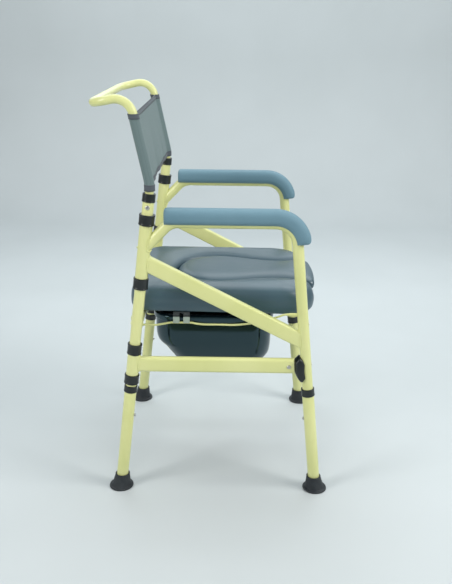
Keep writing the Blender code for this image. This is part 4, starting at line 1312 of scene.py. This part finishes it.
def make_clips():
    """The rods' clips, pale below and black above, where the black is painted shade for the shadow under the
    seat's edge, and the clips round the crossbar.
    """
    for name, side in SIDES:
        for part, finish, operation in CLIP_PARTS:
            piece = make_clip("rod_clip", name, finish, part)
            block = bmesh.new()
            bmesh.ops.create_cube(block, size=CLIP_BLOCK)
            middle = Vector((side * ROD_CLIP_X, CLIP_Y, CLIP_SPLIT + CLIP_BLOCK / 2))
            bmesh.ops.translate(block, verts=block.verts, vec=middle)
            boolean(piece, block, operation)
        make_clip("seat_hinge_clip", name)


def rim_rings(base, size, up, turns):
    """Rings round one edge of the pail's rim."""
    half_width, front, rear, corner = PAIL_RIM
    rings = []
    for degrees in turns:
        t = math.radians(degrees)
        move = size * (1 - math.cos(t))
        height = base + up * size * (1 + up * math.sin(t))
        rings.append((height, half_width - move, front + move, rear - move, corner - move))
    return rings


def make_pail():
    """An open bucket with a rolled rim and a soft round base."""
    levels = smooth_path(PAIL_LEVELS, 5)
    half_width, front, rear, corner = PAIL_RIM
    under = PAIL_RIM_BOTTOM[0] - 0.0002
    rings = levels + [(under, half_width - 0.0100, front + 0.0025, rear - 0.0018, corner - 0.004)]
    rings += rim_rings(*PAIL_RIM_BOTTOM) + rim_rings(*PAIL_RIM_TOP)
    _, half_width, front, rear, corner = levels[-1]
    for drop, out in PAIL_MOUTH:
        move = out - PAIL_WALL
        rings.append((PAIL_RIM_TOP[0] - drop, half_width + move, front - move, rear + move, corner + move))
    for height, half_width, front, rear, corner in levels[-2::-1]:
        rings.append((height + PAIL_WALL, half_width - PAIL_WALL, front + PAIL_WALL, rear - PAIL_WALL,
                      corner - PAIL_WALL))
    loops = []
    for height, half_width, front, rear, corner in rings:
        outline = rounded_outline(half_width, front, rear, corner, corner)
        loops.append([point + Z_AXIS * height for point in outline])
    add_piece("pail_shell", loft(loops), "pail_plastic", "pail", "pail", sharp=50.0)


# Sling


def sling_point(across, level):
    """A point of the sling's panel. Across runs from -1 to 1 between the posts, level from 0 to 1."""
    middle = 1 - across * across
    low = SLING_BOTTOM - SLING_DIP * middle
    high = SLING_TOP - SLING_TOP_DIP * middle
    height = low + (high - low) * level
    bow = SLING_BOW * middle * (1 - 0.4 * level)
    wave = SLING_WAVE * math.cos(across * math.pi * 3) * (1 - level) * middle
    crease = SLING_CREASE * math.sin(across * 23 + level * 3) * (1 - level) ** 2
    return Vector((across * HALF_WIDTH, post_y(height) - SLING_SET_FORWARD + bow + wave + crease, height))


def sling_row(level):
    """One level of the cloth: round the right tunnel from its rear seam, across, and round the left."""
    seam = 1 - TUNNEL_SEAM / HALF_WIDTH
    tunnels = []
    for _, side in SIDES:
        front_seam = sling_point(side * seam, level)
        rear_seam = front_seam + Y_AXIS * CLOTH * 1.6
        centre = Vector((side * HALF_WIDTH, post_y(front_seam.z), front_seam.z))
        tunnel = []
        for degrees in range(45, 316, 10):
            t = math.radians(degrees)
            tunnel.append(centre + Vector((-side * math.cos(t), math.sin(t), 0)) * TUNNEL_RADIUS)
        rear_flap = [rear_seam.lerp(tunnel[0], t) for t in (0.0, 0.25, 0.5, 0.75)]
        front_flap = [tunnel[-1].lerp(front_seam, t) for t in (0.25, 0.5, 0.75, 1.0)]
        tunnels.append(rear_flap + tunnel + front_flap)
    panel = [sling_point(-seam + 2 * seam * i / SLING_STEPS, level) for i in range(1, SLING_STEPS)]
    return tunnels[0] + panel + tunnels[1][::-1]


def strip_rows(low, high, rows, lift):
    """Rows of the cloth between two levels, moved off it along its normals."""
    grid = [sling_row(low + (high - low) * i / rows) for i in range(rows + 1)]
    lifted = []
    for j, row in enumerate(grid):
        above = grid[min(j + 1, rows)]
        below = grid[max(j - 1, 0)]
        new_row = []
        for i, point in enumerate(row):
            along = row[min(i + 1, len(row) - 1)] - row[max(i - 1, 0)]
            normal = along.cross(above[i] - below[i]).normalized()
            new_row.append(point + normal * lift)
        lifted.append(new_row)
    return lifted


def stitch_line(level, lift):
    """Small thread stitches along a level of the cloth."""
    row = strip_rows(level - 0.001, level + 0.001, 2, lift)[1]
    lengths = path_lengths(row)
    section = circle(THREAD_RADIUS, 6)
    stitches = []
    for i in range(int(lengths[-1] / STITCH_PITCH)):
        start = i * STITCH_PITCH + 0.001
        path = [at_length(row, lengths, start + STITCH_LENGTH * t) for t in (0.0, 0.5, 1.0)]
        stitches.append(solid_sweep(path, section, Z_AXIS, [(0.5, 0.5), (1, 1), (0.5, 0.5)]))
    return joined(stitches)


def make_sling():
    """The cloth with its hems and stitches."""
    rows = [sling_row(i / SLING_ROWS) for i in range(SLING_ROWS + 1)]
    panel = add_piece("sling_cloth_panel", skin(rows), "sling_cloth", "back_frame", "sling", sharp=60.0)
    thicken(panel, CLOTH)
    for label, low, high in HEMS:
        strip = skin(strip_rows(low, high, 5, CLOTH * 0.75))
        hem = add_piece("sling_hem", strip, "hem_cloth", "back_frame", tag=label, sharp=60.0)
        thicken(hem, CLOTH * 0.8)
        for tag, level in (("1", low + HEM_STITCHES[0]), ("2", high - HEM_STITCHES[1])):
            stitches = stitch_line(level, CLOTH * 1.25)
            add_piece(f"sling_{label}_stitches", stitches, "thread", "back_frame", tag=tag)


# Stage


def make_camera():
    """A camera at the photograph's place, with its yaw, pitch and roll."""
    data = bpy.data.cameras.new("camera")
    data.sensor_fit = "HORIZONTAL"
    data.sensor_width = SENSOR_WIDTH
    data.lens = FOCAL_PIXELS * SENSOR_WIDTH / PICTURE_WIDTH
    camera = bpy.data.objects.new("camera", data)
    bpy.context.scene.collection.objects.link(camera)
    level = math.cos(CAMERA_PITCH)
    forward = Vector((level * math.cos(CAMERA_YAW), level * math.sin(CAMERA_YAW), -math.sin(CAMERA_PITCH)))
    right = forward.cross(Z_AXIS).normalized()
    up = right.cross(forward)
    c = math.cos(CAMERA_ROLL)
    s = math.sin(CAMERA_ROLL)
    camera.matrix_world = Matrix((c * right - s * up, s * right + c * up, -forward)).transposed().to_4x4()
    camera.location = CAMERA_PLACE
    bpy.context.scene.camera = camera


def make_backdrop():
    """A pale floor that curves up into a backdrop well behind the chair."""
    line = [(-FLOOR_HALF, 0.0)]
    for i in range(BACKDROP_STEPS + 1):
        t = math.pi / 2 * i / BACKDROP_STEPS
        line.append((BACKDROP_X - BACKDROP_BEND * (1 - math.sin(t)), BACKDROP_BEND * (1 - math.cos(t))))
    line.append((BACKDROP_X, BACKDROP_TOP))
    shape = skin([[Vector((x, y, z)) for x, z in line] for y in (-FLOOR_HALF, FLOOR_HALF)])
    backdrop = new_object("backdrop", shape)
    backdrop.data.shade_smooth()
    shader, place = new_material("backdrop_cloth", (0.59, 0.63, 0.64), 0.9)
    # Painted shade: the cloth goes lighter and darker in broad patches for the light and shade of its folds
    fold_shade = noise_value(place, 2.2, 3.0)
    set_inputs(shader, Base_Color=mixed_colour(fold_shade, (0.52, 0.56, 0.57), (0.58, 0.62, 0.635)))
    backdrop.data.materials.append(MATERIALS["backdrop_cloth"])


def make_world():
    """A soft world that looks brighter to the camera and in reflections than the light that it gives."""
    world = bpy.data.worlds.new("studio")
    world.use_nodes = True
    background = world.node_tree.nodes["Background"]
    rays = node(background, "ShaderNodeLightPath")
    seen = rays.outputs["Is Camera Ray"]
    for kind in ("Is Glossy Ray", "Is Transmission Ray"):
        seen = math_node("MAXIMUM", seen, rays.outputs[kind])
    set_inputs(background, Color=WORLD_COLOUR, Strength=ramp(seen, WORLD_LIGHT, WORLD_SEEN))
    bpy.context.scene.world = world


def make_lamps():
    """Soft lamps, of which only the fill stays out of reflections."""
    for name, place, target, size, power, colour in LAMPS:
        data = bpy.data.lights.new(name, "AREA")
        data.shape = "RECTANGLE"
        data.size, data.size_y = size
        data.energy = power
        data.color = colour
        lamp = bpy.data.objects.new(name, data)
        bpy.context.scene.collection.objects.link(lamp)
        lamp.location = place
        lamp.rotation_euler = (Vector(target) - Vector(place)).to_track_quat("-Z", "Y").to_euler()
        lamp.visible_glossy = name != "fill"


def make_chair():
    make_uprights()
    make_collars()
    make_crossbar()
    make_backrest_tube()
    for name, side in SIDES:
        place = rear_axis(BACK_SCREW_HEIGHT, side) + X_AXIS * side * TUBE_RADIUS
        make_screw("backrest", name, "back_frame", place, side, BACK_SCREW)
        make_side_tube(name, side)
        make_sleeves(name, side)
        make_brace(name, side)
        make_lower_bar(name, side)
        make_saddle(name, side)
        make_stud(name, side)
        make_rivets(name, side)
        make_arm_pad(name, side)
        for end in LEG_AXES:
            make_leg(end, name, side)
    make_seat()
    make_middle_pad()
    make_rods()
    make_clips()
    make_pail()
    make_sling()


make_materials()
make_camera()
make_chair()
make_backdrop()
make_world()
make_lamps()
bpy.context.scene.view_settings.view_transform = "Standard"
